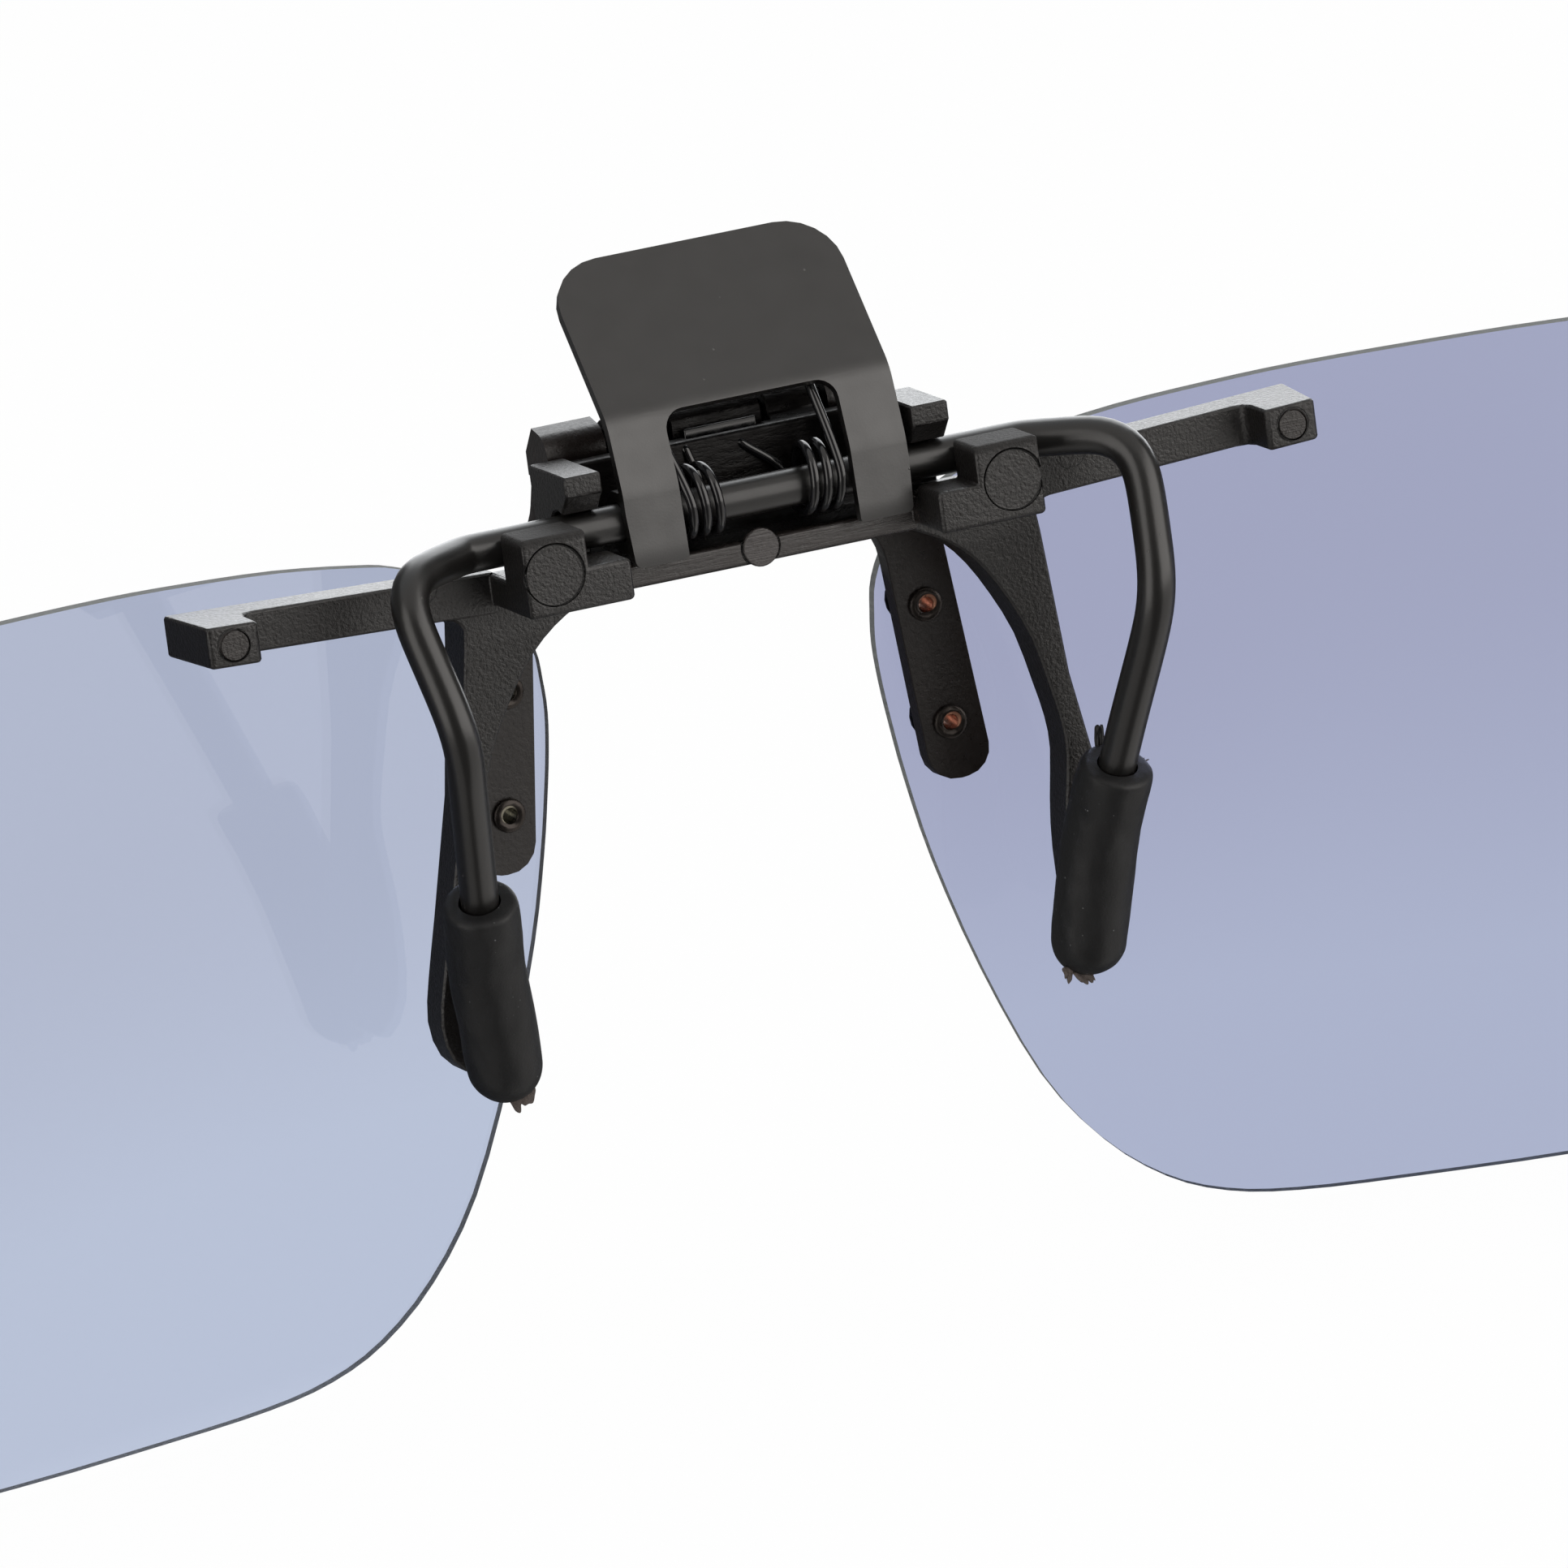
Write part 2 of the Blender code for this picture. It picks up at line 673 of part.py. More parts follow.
def clip_body(surface):
    """The moulding that sits over the spectacle bridge and carries everything else."""
    gate = drum((0, GATE_HEIGHT), GATE_RADIUS, -RAIL_BACK - GATE_PROUD, OVERLAP - RAIL_BACK, "Y")
    pieces = [spine(), gate]
    for _, sign in sides():
        pieces += [jaw(sign), ear(sign), boss(sign), arm(sign), hook_mark(sign), body_knuckle(sign)]
    body = fused(pieces)
    tools = [hinge_bore(BAR_OUTER)]
    pocket_floor = WALL_FRONT - LEAF_POCKET_DEPTH
    pocket_half = LEAF_HALF_WIDTH + SEAT_GAP
    low = (-pocket_half, pocket_floor, LEAF_BOTTOM - SEAT_GAP)
    tools.append(box(low, (pocket_half, WALL_FRONT + OVERRUN, WALL_TOP + OVERRUN)))
    for _, sign in sides():
        centre = (sign * PIN_MARK_X, PIN_MARK_HEIGHT)
        mark = drum(centre, PIN_MARK_RADIUS, -BOSS_BACK - OVERRUN, PIN_MARK_DEPTH - BOSS_BACK, "Y")
        tools.append(mark)
    return finish_piece(cut(body, tools), "clip_body", surface)


def claw_line(sign):
    """The centre line of one claw, from the middle of the shaft to the tip of its sleeve."""
    bend, tip = sleeve_run()
    corners = [
        Vector((0, 0, 0)),
        Vector((CLAW_SHOULDER, 0, 0)),
        Vector((CLAW_CORNER_X, -CLAW_CORNER_BACK, 0)),
        Vector((CLAW_KNEE_X, -CLAW_KNEE_BACK, -CLAW_KNEE_DROP)),
        bend,
        tip,
    ]
    # The wire has slid sideways as far as its play allows.
    start = SHAFT + Vector((CLAW_PLAY, 0, 0))
    corners = [start + corner * Vector((sign, 1, 1)) for corner in corners]
    return bent_path(corners, CLAW_BEND_RADII, CLAW_BEND_STEPS)


def jaw_back(drop):
    """How far forward of the shaft's axis the back of a jaw lies at a depth below the shaft."""
    below = max(0, drop - SHAFT_HEIGHT - JAW_TILT_START)
    return SHAFT_BACK + below * math.tan(JAW_TILT)


def sleeve_run():
    """Where a sleeve bends and where it ends, measured from the shaft, so that it meets its jaw."""
    to_jaw = SLEEVE_DIAMETER / 2
    contact_drop = SHAFT_HEIGHT + JAW_DROP
    forward = jaw_back(SLEEVE_BEND_DROP) - to_jaw - SLEEVE_BEND_GAP
    bend = Vector((SLEEVE_BEND_X, forward, -SLEEVE_BEND_DROP))
    forward = jaw_back(contact_drop) - to_jaw - SLEEVE_CONTACT_GAP
    contact = Vector((SLEEVE_CONTACT_X, forward, -contact_drop))
    return bend, contact + (contact - bend).normalized() * SLEEVE_OVERHANG


def trimmed(line, cut_back):
    """A line of points made shorter at its end."""
    line = list(line)
    while (line[-1] - line[-2]).length <= cut_back:
        cut_back -= (line[-1] - line[-2]).length
        line.pop()
    line[-1] = line[-1] + (line[-2] - line[-1]).normalized() * cut_back
    return line


def station(line, from_end):
    """The place and direction on a line at a distance from its end."""
    for index in range(len(line) - 1, 0, -1):
        run = (line[index] - line[index - 1]).length
        if from_end <= run or index == 1:
            direction = (line[index] - line[index - 1]).normalized()
            return line[index] - direction * from_end, direction
        from_end -= run


def claw_wire(surface):
    """The bent wire: the shaft across the body and a claw on each side."""
    right = trimmed(claw_line(1), SLEEVE_END_WALL)
    left = trimmed(claw_line(-1), SLEEVE_END_WALL)
    wire = tube("claw_wire", left[:0:-1] + right[1:], WIRE_RADIUS, WIRE_FACETS // 2 - 2)
    return finish_piece(wire, "claw_wire", surface, SHAFT)


def sleeve(side, sign, surface):
    """A rubber sleeve: a flat rim, a round tip and a blind bore that the wire fills."""
    line = claw_line(sign)
    radius = SLEEVE_DIAMETER / 2
    bore = WIRE_RADIUS + RUNNING_CLEARANCE * 1.5
    levels = []
    for ring in range(SLEEVE_TIP_RINGS + 1):
        angle = math.pi / 2 * (ring + 0.35) / (SLEEVE_TIP_RINGS + 0.35)
        levels.append((radius * (1 - math.cos(angle)), radius * math.sin(angle)))
    straight = SLEEVE_LENGTH - radius - SLEEVE_RIM_RADIUS
    for ring in range(1, SLEEVE_RINGS + 1):
        levels.append((radius + straight * ring / SLEEVE_RINGS, radius))
    for angle in (45, 90):
        turn = math.radians(angle)
        level = SLEEVE_LENGTH - SLEEVE_RIM_RADIUS * (1 - math.sin(turn))
        levels.append((level, radius - SLEEVE_RIM_RADIUS * (1 - math.cos(turn))))
    floor = SLEEVE_END_WALL - SEAT_GAP
    levels.append((SLEEVE_LENGTH, bore))
    for ring in range(SLEEVE_RINGS - 1, -1, -1):
        levels.append((floor + (SLEEVE_LENGTH - floor) * ring / SLEEVE_RINGS, bore))
    stations = [(*station(line, level), size) for level, size in levels]
    made = rings_along("sleeve", stations, SLEEVE_FACETS)
    return finish_piece(made, f"{side}_sleeve", surface, SHAFT)


def tab_profile():
    """The side view of the thumb tab's back face, from its feet to its top edge."""
    at_shaft = -TAB_LEG_BACK
    corners = [
        (at_shaft - TAB_FOOT_LEAN, TAB_FOOT_HEIGHT),
        (at_shaft + TAB_KNEE_LEAN, TAB_KNEE_HEIGHT),
        (at_shaft + TAB_BEND_LEAN, TAB_BEND_HEIGHT),
        (at_shaft + TAB_TOP_LEAN, TAB_TOP_HEIGHT),
    ]
    return bent_path(corners, TAB_BEND_RADII, TAB_BEND_STEPS)


def tab_level(profile, height):
    """The length along the tab's side view at which it reaches a height."""
    travelled = 0
    for start, end in zip(profile, profile[1:]):
        run = (end - start).length
        if end.y >= height:
            return travelled + run * (height - start.y) / (end.y - start.y)
        travelled += run
    return travelled


def tab_blank(profile):
    """The tab cut from flat sheet, before it is bent."""
    top = tab_level(profile, TAB_TOP_HEIGHT)
    window = tab_level(profile, TAB_WINDOW_HEIGHT)
    taper = tab_level(profile, TAB_TAPER_HEIGHT)
    right = [
        (TAB_WINDOW_HALF_WIDTH, window, TAB_WINDOW_CORNER),
        (TAB_WINDOW_HALF_WIDTH, 0, TAB_FOOT_CORNER / 2),
        (TAB_FOOT_HALF_WIDTH, 0, TAB_FOOT_CORNER),
        (TAB_HALF_WIDTH, taper, TAB_TOP_CORNER),
        (TAB_HALF_WIDTH, top, TAB_TOP_CORNER),
    ]
    left = [(-x, along, radius) for x, along, radius in reversed(right)]
    corners = right + left
    outline = filleted([(x, along) for x, along, _ in corners], [radius for _, _, radius in corners], 6)
    return prism(outline, 0, TAB_THICKNESS, "Z")


def tab_ear(sign):
    """A flange at the edge of a tab leg, with a hole for the shaft."""
    root = -TAB_LEG_BACK + TAB_THICKNESS / 2
    rim = arc((-SHAFT_BACK, SHAFT_HEIGHT), TAB_EAR_RADIUS, -70, 70, FILLET_STEPS * 2)
    outline = [(root, rim[0].y), *rim, (root, rim[-1].y)]
    outer = sign * TAB_FOOT_HALF_WIDTH
    low, high = sorted((outer, outer - sign * TAB_THICKNESS))
    flange = prism(outline, low, high, "X")
    reach = sorted((outer + sign * OVERRUN, outer - sign * (TAB_THICKNESS + OVERRUN)))
    bore = WIRE_RADIUS + RUNNING_CLEARANCE
    return cut(flange, [drum(SHAFT.yz, bore, reach[0], reach[1], "X")])


def thumb_tab(surface):
    """The pressed steel tab that opens the claws."""
    profile = tab_profile()
    lengths = [0]
    for start, end in zip(profile, profile[1:]):
        lengths.append(lengths[-1] + (end - start).length)
    blank = tab_blank(profile)
    # The blank lies in the XY plane, so its length along the profile is its Y.
    blank = sliced(blank, "Y", lengths[1:-1])

    def bend(place):
        index = 0
        while index < len(lengths) - 2 and place.y > lengths[index + 1]:
            index += 1
        along = (profile[index + 1] - profile[index]).normalized()
        before = (profile[index] - profile[index - 1]).normalized() if index else along
        at_joint = abs(place.y - lengths[index]) < EDGE_RADIUS / 100
        tangent = (along + before).normalized() if at_joint else along
        if abs(place.y - lengths[index + 1]) < EDGE_RADIUS / 100 and index < len(lengths) - 2:
            after = (profile[index + 2] - profile[index + 1]).normalized()
            tangent = (along + after).normalized()
        base = profile[index] + along * (place.y - lengths[index])
        # The sheet's thickness lies in front of the profile.
        return Vector((place.x, base.x + tangent.y * place.z, base.y - tangent.x * place.z))

    tab = reshape(blank, bend)
    tab = fused([tab, tab_ear(-1), tab_ear(1)])
    # The tab has slid sideways as far as its play allows.
    tab.data.transform(Matrix.Translation(Vector((TAB_PLAY, 0, 0))))
    return finish_piece(tab, "thumb_tab", surface, SHAFT)


def tab_front(height):
    """How far forward the tab's front face lies at a height."""
    profile = tab_profile()
    for start, end in zip(profile, profile[1:]):
        if end.y >= height:
            share = (height - start.y) / (end.y - start.y)
            run = end - start
            return start.x + run.x * share + TAB_THICKNESS * run.length / run.y
    return profile[-1].x


def spring_line(sign):
    """One torsion spring: a leg up to the tab, the coil round the shaft and a leg up the wall.

    The springs have slid sideways with the tab, and their wall legs lie askew by unlike amounts.
    """
    radius = SPRING_MEAN_RADIUS
    forward = tab_front(SPRING_PRESS_HEIGHT) + SPRING_WIRE / 2 + SEAT_GAP + SHAFT_BACK
    press = Vector((forward, SPRING_PRESS_HEIGHT - SHAFT_HEIGHT))
    # The leg leaves the coil along a tangent on the coil's back.
    leave = press.angle_signed(Vector((1, 0))) + math.acos(radius / press.length)
    turns = SPRING_TURNS - leave / (2 * math.pi)
    steps = round(turns * SPRING_POINTS_PER_TURN)
    points = [Vector((SPRING_START - SPRING_LEG_LEAN, press.x, press.y))]
    for step in range(steps + 1):
        angle = leave + 2 * math.pi * turns * step / steps
        x = SPRING_START - SPRING_PITCH * turns * step / steps
        points.append(Vector((x, radius * math.cos(angle), radius * math.sin(angle))))
    lean = SPRING_WALL_LEANS[sign > 0]
    points.append(points[-1] + Vector((-math.sin(lean), 0, math.cos(lean))) * SPRING_WALL_LEG)
    side = Vector((sign, 1, 1))
    start = SHAFT + Vector((TAB_PLAY, 0, 0))
    return [start + point * side for point in points]


def least_gap(line, diameter):
    """The least gap between parts of a wire that lie more than one turn's share apart."""
    fine = smooth_line(line[1:-1], 4)
    apart = SPRING_POINTS_PER_TURN * 2
    gaps = [(a - b).length for i, a in enumerate(fine) for b in fine[i + apart:]]
    return min(gaps) - diameter


def torsion_spring(side, sign, surface):
    """A torsion spring as one unbroken wire."""
    line = spring_line(sign)
    print(f"{side} spring: least gap to itself {least_gap(line, SPRING_WIRE) / MM:.2f} mm")
    wire = tube("spring", line, SPRING_WIRE / 2, 1)
    return finish_piece(wire, f"{side}_torsion_spring", surface, SHAFT)


def seat_back(x, z):
    """How far forward the back face of the lens bridge's front lies."""
    beyond = max(0, abs(x) - WRAP_START)
    above = max(0, z - PANEL_LEAN_START)
    lean = math.tan(LENS_TILT) * z + math.tan(PANEL_LEAN) * above
    return SEAT_FORWARD - lean - math.tan(LENS_WRAP) * beyond


def seat_axes(sign):
    """The direction across a lens plate, away from the wearer."""
    return Vector((sign * math.tan(LENS_WRAP), 1, math.tan(LENS_TILT))).normalized()


def panel_outline():
    """The front view of the lens bridge."""
    drop = Vector((math.sin(PLATE_SPLAY), -math.cos(PLATE_SPLAY)))
    across = Vector((drop.y, -drop.x)) * -1
    inner_top = Vector((PLATE_INNER_X, PLATE_INNER_Z))
    inner_low = inner_top + drop * PLATE_LENGTH
    outer_low = inner_low + across * (PLATE_WIDTH + PLATE_FLARE)
    outer_top = inner_top + across * PLATE_WIDTH
    right = [
        (Vector((PANEL_HALF_WIDTH, PANEL_TOP)), PANEL_CORNER),
        (Vector((PANEL_WAIST_X, PANEL_WAIST_Z)), PLATE_WIDTH),
        (Vector((PANEL_NECK_X, PANEL_NECK_Z)), PLATE_WIDTH),
        (outer_top, PLATE_WIDTH / 2),
        (outer_low, PLATE_WIDTH * 0.45),
        (inner_low, PLATE_WIDTH * 0.5),
        (inner_top, PLATE_WIDTH),
        (Vector((PANEL_ARCH_HALF_WIDTH, PANEL_BOTTOM)), PANEL_CORNER),
    ]
    left = [(Vector((-point.x, point.y)), radius) for point, radius in reversed(right)]
    corners = right + left
    return filleted([point for point, _ in corners], [radius for _, radius in corners])


def bar_end(sign):
    """An end of the bridge's hinge bar, seen as the block behind the body's ear."""
    crown = Vector((HINGE_FORWARD + BAR_CROWN_FORWARD, HINGE_HEIGHT + BAR_CROWN))
    barrel = arc(HINGE.yz, KNUCKLE_RADIUS, 105, 270, ROUND_STEPS // 2)
    root = seat_back(0, HINGE_HEIGHT) + OVERLAP
    outline = [(root, PANEL_TOP - EDGE_RADIUS), crown, *barrel]
    outline.append((root, HINGE_HEIGHT - KNUCKLE_RADIUS))
    low, high = sorted((sign * BAR_INNER, sign * BAR_OUTER))
    return prism(outline, low, high, "X")


def cam():
    """The middle knuckle, with a flat for the leaf spring at each resting place."""
    root = seat_back(0, HINGE_HEIGHT) + OVERLAP
    flat_end = math.degrees(math.acos(CAM_FLAT / KNUCKLE_RADIUS))
    barrel = arc(HINGE.yz, KNUCKLE_RADIUS, 90 + flat_end, 180 - flat_end, FILLET_STEPS)
    barrel += arc(HINGE.yz, KNUCKLE_RADIUS, 180 + flat_end, 270, FILLET_STEPS)
    flat_top = HINGE_HEIGHT + CAM_FLAT
    start = (HINGE_FORWARD + CAM_FLAT / 2, flat_top)
    outline = [(root, PANEL_TOP - EDGE_RADIUS), start, *barrel]
    outline.append((root, HINGE_HEIGHT - KNUCKLE_RADIUS))
    return prism(outline, -CAM_HALF_LENGTH, CAM_HALF_LENGTH, "X")


def lens_bridge(surface):
    """The moulding that flips up, with a plate for each lens."""
    front = prism(panel_outline(), 0, PLATE_THICKNESS, "Y")
    front = eased(sliced(sliced(front, "X", [-WRAP_START, WRAP_START]), "Z", [PANEL_LEAN_START]))

    def place_front(place):
        place.y += seat_back(place.x, place.z)
        return place

    front = reshape(front, place_front)
    bridge = fused([front, cam(), bar_end(-1), bar_end(1)])
    tools = [hinge_bore(BAR_OUTER + OVERRUN)]
    for _, sign in sides():
        tools += [rivet_hole(sign, level) for level in range(len(RIVET_DROPS))]
    return finish_piece(cut(bridge, tools), "lens_bridge", surface, HINGE)


def rivet_place(sign, level):
    """Where a rivet's axis meets the back face of a lens plate."""
    x, z = RIVET_X[level], -RIVET_DROPS[level]
    return Vector((sign * x, seat_back(x, z), z))


def turned(sign, level, profile, steps):
    """A ring turned about a rivet's axis, from a closed profile of radius and distance along it."""
    bm = bmesh.new()
    rings = []
    for step in range(steps):
        angle = 2 * math.pi * step / steps
        spin = Matrix.Rotation(angle, 3, "Y")
        rings.append([bm.verts.new(spin @ Vector((radius, along, 0))) for radius, along in profile])
    for step in range(steps):
        ring, following = rings[step], rings[(step + 1) % steps]
        for index in range(len(profile)):
            after = (index + 1) % len(profile)
            bm.faces.new((ring[index], ring[after], following[after], following[index]))
    turn = Vector((0, 1, 0)).rotation_difference(seat_axes(sign)).to_matrix().to_4x4()
    bmesh.ops.transform(bm, matrix=Matrix.Translation(rivet_place(sign, level)) @ turn, verts=bm.verts)
    return from_bmesh("turned", bm)


def rivet_hole(sign, level):
    """The hole for a rivet, through the plate and the lens."""
    hole = drum((0, 0), RIVET_RADIUS + RUNNING_CLEARANCE, -OVERRUN, OVERRUN * 4, "Y", ROUND_STEPS // 2)
    turn = Vector((0, 1, 0)).rotation_difference(seat_axes(sign)).to_matrix().to_4x4()
    hole.data.transform(Matrix.Translation(rivet_place(sign, level)) @ turn)
    return hole


def washer_back():
    """How far along a rivet its washer starts."""
    return PLATE_THICKNESS + LENS_GAP + LENS_THICKNESS + SEAT_GAP


def rivet(side, sign, level, name, surface):
    """A hollow rivet with a rolled flange at each end."""
    front = washer_back() + WASHER_THICKNESS + SEAT_GAP
    back = -SEAT_GAP
    lip = RIVET_FLANGE_THICKNESS
    half = RIVET_RADIUS / 2 + RIVET_FLANGE_RADIUS / 2
    profile = [
        (RIVET_BORE_RADIUS, back - lip / 2),
        (RIVET_RADIUS, back - lip),
        (half, back - lip),
        (RIVET_FLANGE_RADIUS, back - lip / 2),
        (RIVET_FLANGE_RADIUS, back),
        (RIVET_RADIUS, back),
        (RIVET_RADIUS, front),
        (RIVET_FLANGE_RADIUS, front),
        (RIVET_FLANGE_RADIUS, front + lip / 2),
        (half, front + lip),
        (RIVET_RADIUS, front + lip),
        (RIVET_BORE_RADIUS, front + lip / 2),
    ]
    made = turned(sign, level, profile, 16)
    return finish_piece(made, f"{side}_{name}_rivet", surface, HINGE)


def washer(side, sign, level, name, surface):
    """The washer between a rivet's front flange and the lens."""
    back, front = washer_back(), washer_back() + WASHER_THICKNESS
    inner = RIVET_RADIUS + RUNNING_CLEARANCE
    rim = WASHER_THICKNESS / 3
    profile = [(inner, back), (WASHER_RADIUS, back), (WASHER_RADIUS, front - rim)]
    profile += [(WASHER_RADIUS - rim, front), (inner, front)]
    made = turned(sign, level, profile, 20)
    return finish_piece(made, f"{side}_{name}_washer", surface, HINGE)


def hinge_pin(surface):
    """The steel pin of the flip hinge."""
    start = HINGE_PIN_BLIND - BAR_OUTER + SEAT_GAP
    pin = drum(HINGE.yz, HINGE_PIN_DIAMETER / 2, start, BAR_OUTER - HINGE_PIN_RECESS, "X", ROUND_STEPS // 2)
    return finish_piece(eased(pin, HINGE_PIN_DIAMETER / 10, 1), "flip_hinge_pin", surface, HINGE)


def detent_leaf(surface):
    """The leaf spring in the wall that holds the lenses down or flipped up."""
    seat = WALL_FRONT - LEAF_POCKET_DEPTH + SEAT_GAP / 2
    reach = HINGE_FORWARD - KNUCKLE_RADIUS - SEAT_GAP - LEAF_THICKNESS
    bend = HINGE_HEIGHT - LEAF_BEND_DROP
    back = [(seat, LEAF_BOTTOM), (seat, LEAF_BOTTOM + LEAF_RISE / 3), (reach, bend)]
    back.append((reach, LEAF_BOTTOM + LEAF_RISE + LEAF_BEND_DROP / 2))
    front = [(y + LEAF_THICKNESS, z) for y, z in back]
    leaf = prism(back + front[::-1], -LEAF_HALF_WIDTH, LEAF_HALF_WIDTH, "X")
    return finish_piece(leaf, "detent_leaf", surface)


def lens(side, sign, surface):
    """A rimless lens: a thin curved sheet inside a smooth outline, with two rivet holes."""
    bottom = LENS_TOP - LENS_HEIGHT
    corners = []
    for x_share, z_share in LENS_OUTLINE_SHARES:
        corners.append((LENS_NASAL_X + LENS_WIDTH * x_share, bottom + LENS_HEIGHT * z_share))
    outline = smooth_line(corners, LENS_OUTLINE_STEPS, closed=True)
    centre = Vector((LENS_NASAL_X + LENS_WIDTH / 2, bottom + LENS_HEIGHT / 2))
    back_offset = PLATE_THICKNESS + LENS_GAP

    def on_lens(point, offset):
        # Both lenses sit rolled and shifted a little the same way.
        x = point.x * math.cos(LENS_ROLL) + sign * point.y * math.sin(LENS_ROLL) + sign * LENS_PLAY
        z = point.y * math.cos(LENS_ROLL) - sign * point.x * math.sin(LENS_ROLL)
        beyond = x - WRAP_START
        seat = SEAT_FORWARD - math.tan(LENS_TILT) * z - math.tan(LENS_WRAP) * beyond
        depth = seat + back_offset - beyond * beyond / (2 * LENS_CURVE_RADIUS)
        slope = math.tan(LENS_WRAP) + beyond / LENS_CURVE_RADIUS
        outwards = Vector((sign * slope, 1, math.tan(LENS_TILT))).normalized()
        return Vector((sign * x, depth, z)) + outwards * offset

    bm = bmesh.new()
    faces = []
    for offset in (0, LENS_THICKNESS):
        middle = bm.verts.new(on_lens(centre, offset))
        rings = []
        for ring in range(1, LENS_RINGS + 1):
            share = ring / LENS_RINGS
            rings.append([bm.verts.new(on_lens(centre + (p - centre) * share, offset)) for p in outline])
        for index in range(len(outline)):
            after = (index + 1) % len(outline)
            bm.faces.new((middle, rings[0][index], rings[0][after]))
            for ring, following in zip(rings, rings[1:]):
                bm.faces.new((ring[index], following[index], following[after], ring[after]))
        faces.append(rings[-1])
    for index in range(len(outline)):
        after = (index + 1) % len(outline)
        bm.faces.new((faces[0][index], faces[0][after], faces[1][after], faces[1][index]))
    made = from_bmesh("lens", bm)
    made = cut(made, [rivet_hole(sign, level) for level in range(len(RIVET_DROPS))])
    return finish_piece(made, f"{side}_lens", surface, HINGE)


def main():
    """Builds every piece at rest: claws closed and lenses down."""
    clear_scene()
    body_plastic = material("body_plastic", (0.025, 0.024, 0.024), 0.55)
    bridge_plastic = material("bridge_plastic", (0.03, 0.024, 0.022), 0.4)
    painted_steel = material("painted_steel", (0.018, 0.017, 0.017), 0.35)
    spring_steel = material("spring_steel", (0.03, 0.03, 0.03), 0.3, 0.8)
    rubber = material("rubber", (0.02, 0.02, 0.02), 0.8)
    eyelet_metal = material("eyelet_metal", (0.2, 0.13, 0.1), 0.35, 0.9)
    tint = material("lens_tint", (0.55, 0.58, 0.72), 0.05, 0.0, 0.45)
    clip_body(body_plastic)
    claw_wire(painted_steel)
    thumb_tab(painted_steel)
    lens_bridge(bridge_plastic)
    hinge_pin(spring_steel)
    detent_leaf(spring_steel)
    for side, sign in sides():
        sleeve(side, sign, rubber)
        torsion_spring(side, sign, spring_steel)
        lens(side, sign, tint)
        for level, name in enumerate(("upper", "lower")):
            rivet(side, sign, level, name, eyelet_metal)
            washer(side, sign, level, name, bridge_plastic)


main()
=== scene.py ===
"""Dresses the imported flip-up clip-on sunglasses for their photograph.

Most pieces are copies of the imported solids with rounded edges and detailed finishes. The claw wire is
drawn again in finer form. So are the springs, which are also wound closer than their solids and lean
differently, as photographed. The sleeves get their scraps of flash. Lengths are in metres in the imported
model's frame: X runs to the wearer's right, Y away from the wearer and Z up.
"""

import json
import math

import bmesh
import bpy
import numpy as np
from mathutils import Matrix, Vector, noise

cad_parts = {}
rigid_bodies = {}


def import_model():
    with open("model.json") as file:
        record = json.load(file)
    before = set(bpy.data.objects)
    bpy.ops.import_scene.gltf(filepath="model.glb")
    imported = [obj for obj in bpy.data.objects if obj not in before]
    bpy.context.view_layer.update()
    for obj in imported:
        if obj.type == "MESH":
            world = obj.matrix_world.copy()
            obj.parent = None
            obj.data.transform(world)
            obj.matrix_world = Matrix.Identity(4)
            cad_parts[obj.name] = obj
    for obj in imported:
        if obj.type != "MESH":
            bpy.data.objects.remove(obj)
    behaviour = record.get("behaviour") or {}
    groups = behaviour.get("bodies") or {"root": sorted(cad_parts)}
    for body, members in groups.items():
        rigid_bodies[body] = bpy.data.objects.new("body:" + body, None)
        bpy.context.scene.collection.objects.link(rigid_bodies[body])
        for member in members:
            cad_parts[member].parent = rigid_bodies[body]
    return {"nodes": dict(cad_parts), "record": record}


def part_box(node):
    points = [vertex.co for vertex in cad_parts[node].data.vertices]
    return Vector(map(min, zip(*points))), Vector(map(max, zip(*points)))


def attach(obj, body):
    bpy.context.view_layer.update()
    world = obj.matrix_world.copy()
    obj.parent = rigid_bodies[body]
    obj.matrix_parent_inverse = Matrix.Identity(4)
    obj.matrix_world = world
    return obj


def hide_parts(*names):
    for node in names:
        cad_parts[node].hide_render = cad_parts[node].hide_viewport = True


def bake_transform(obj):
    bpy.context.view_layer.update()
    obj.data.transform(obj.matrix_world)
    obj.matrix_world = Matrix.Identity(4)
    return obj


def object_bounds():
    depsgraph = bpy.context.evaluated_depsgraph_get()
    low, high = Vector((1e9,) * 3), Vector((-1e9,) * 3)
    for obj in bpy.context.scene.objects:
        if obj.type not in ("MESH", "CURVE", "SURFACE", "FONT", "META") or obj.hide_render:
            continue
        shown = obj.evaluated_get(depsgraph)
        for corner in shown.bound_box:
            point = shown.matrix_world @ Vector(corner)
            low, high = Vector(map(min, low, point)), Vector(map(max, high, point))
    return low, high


MM = 0.001

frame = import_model()
cad_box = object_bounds()
nodes = frame["nodes"]
BODIES = {
    node: body for body, members in frame["record"]["behaviour"]["bodies"].items() for node in members
}

# Angles and distances that sort the solids' faces
WELD_DISTANCE = 0.0005 * MM
FLAT_ANGLE = math.radians(0.4)
SHARP_ANGLE = math.radians(40)
CREASE_ANGLE = math.radians(55)
QUAD_ANGLE = math.radians(60)
RIM_SLOPE = 0.6

# Camera, as fitted to the photograph: where X, Y and Z point in the picture, and its distance
PICTURE_X = Vector((25.76, -10.39, -3.60))
PICTURE_Y = Vector((5.516, 4.256, 27.12))
PICTURE_MIDDLE = (1.484 * MM, -9.957 * MM)
CAMERA_DISTANCE = 875 * MM
CAMERA_REACH = 10000 * MM
PIXELS_PER_FOCAL_LENGTH = 24500
PICTURE_SIZE = 1932
SENSOR_WIDTH = 36

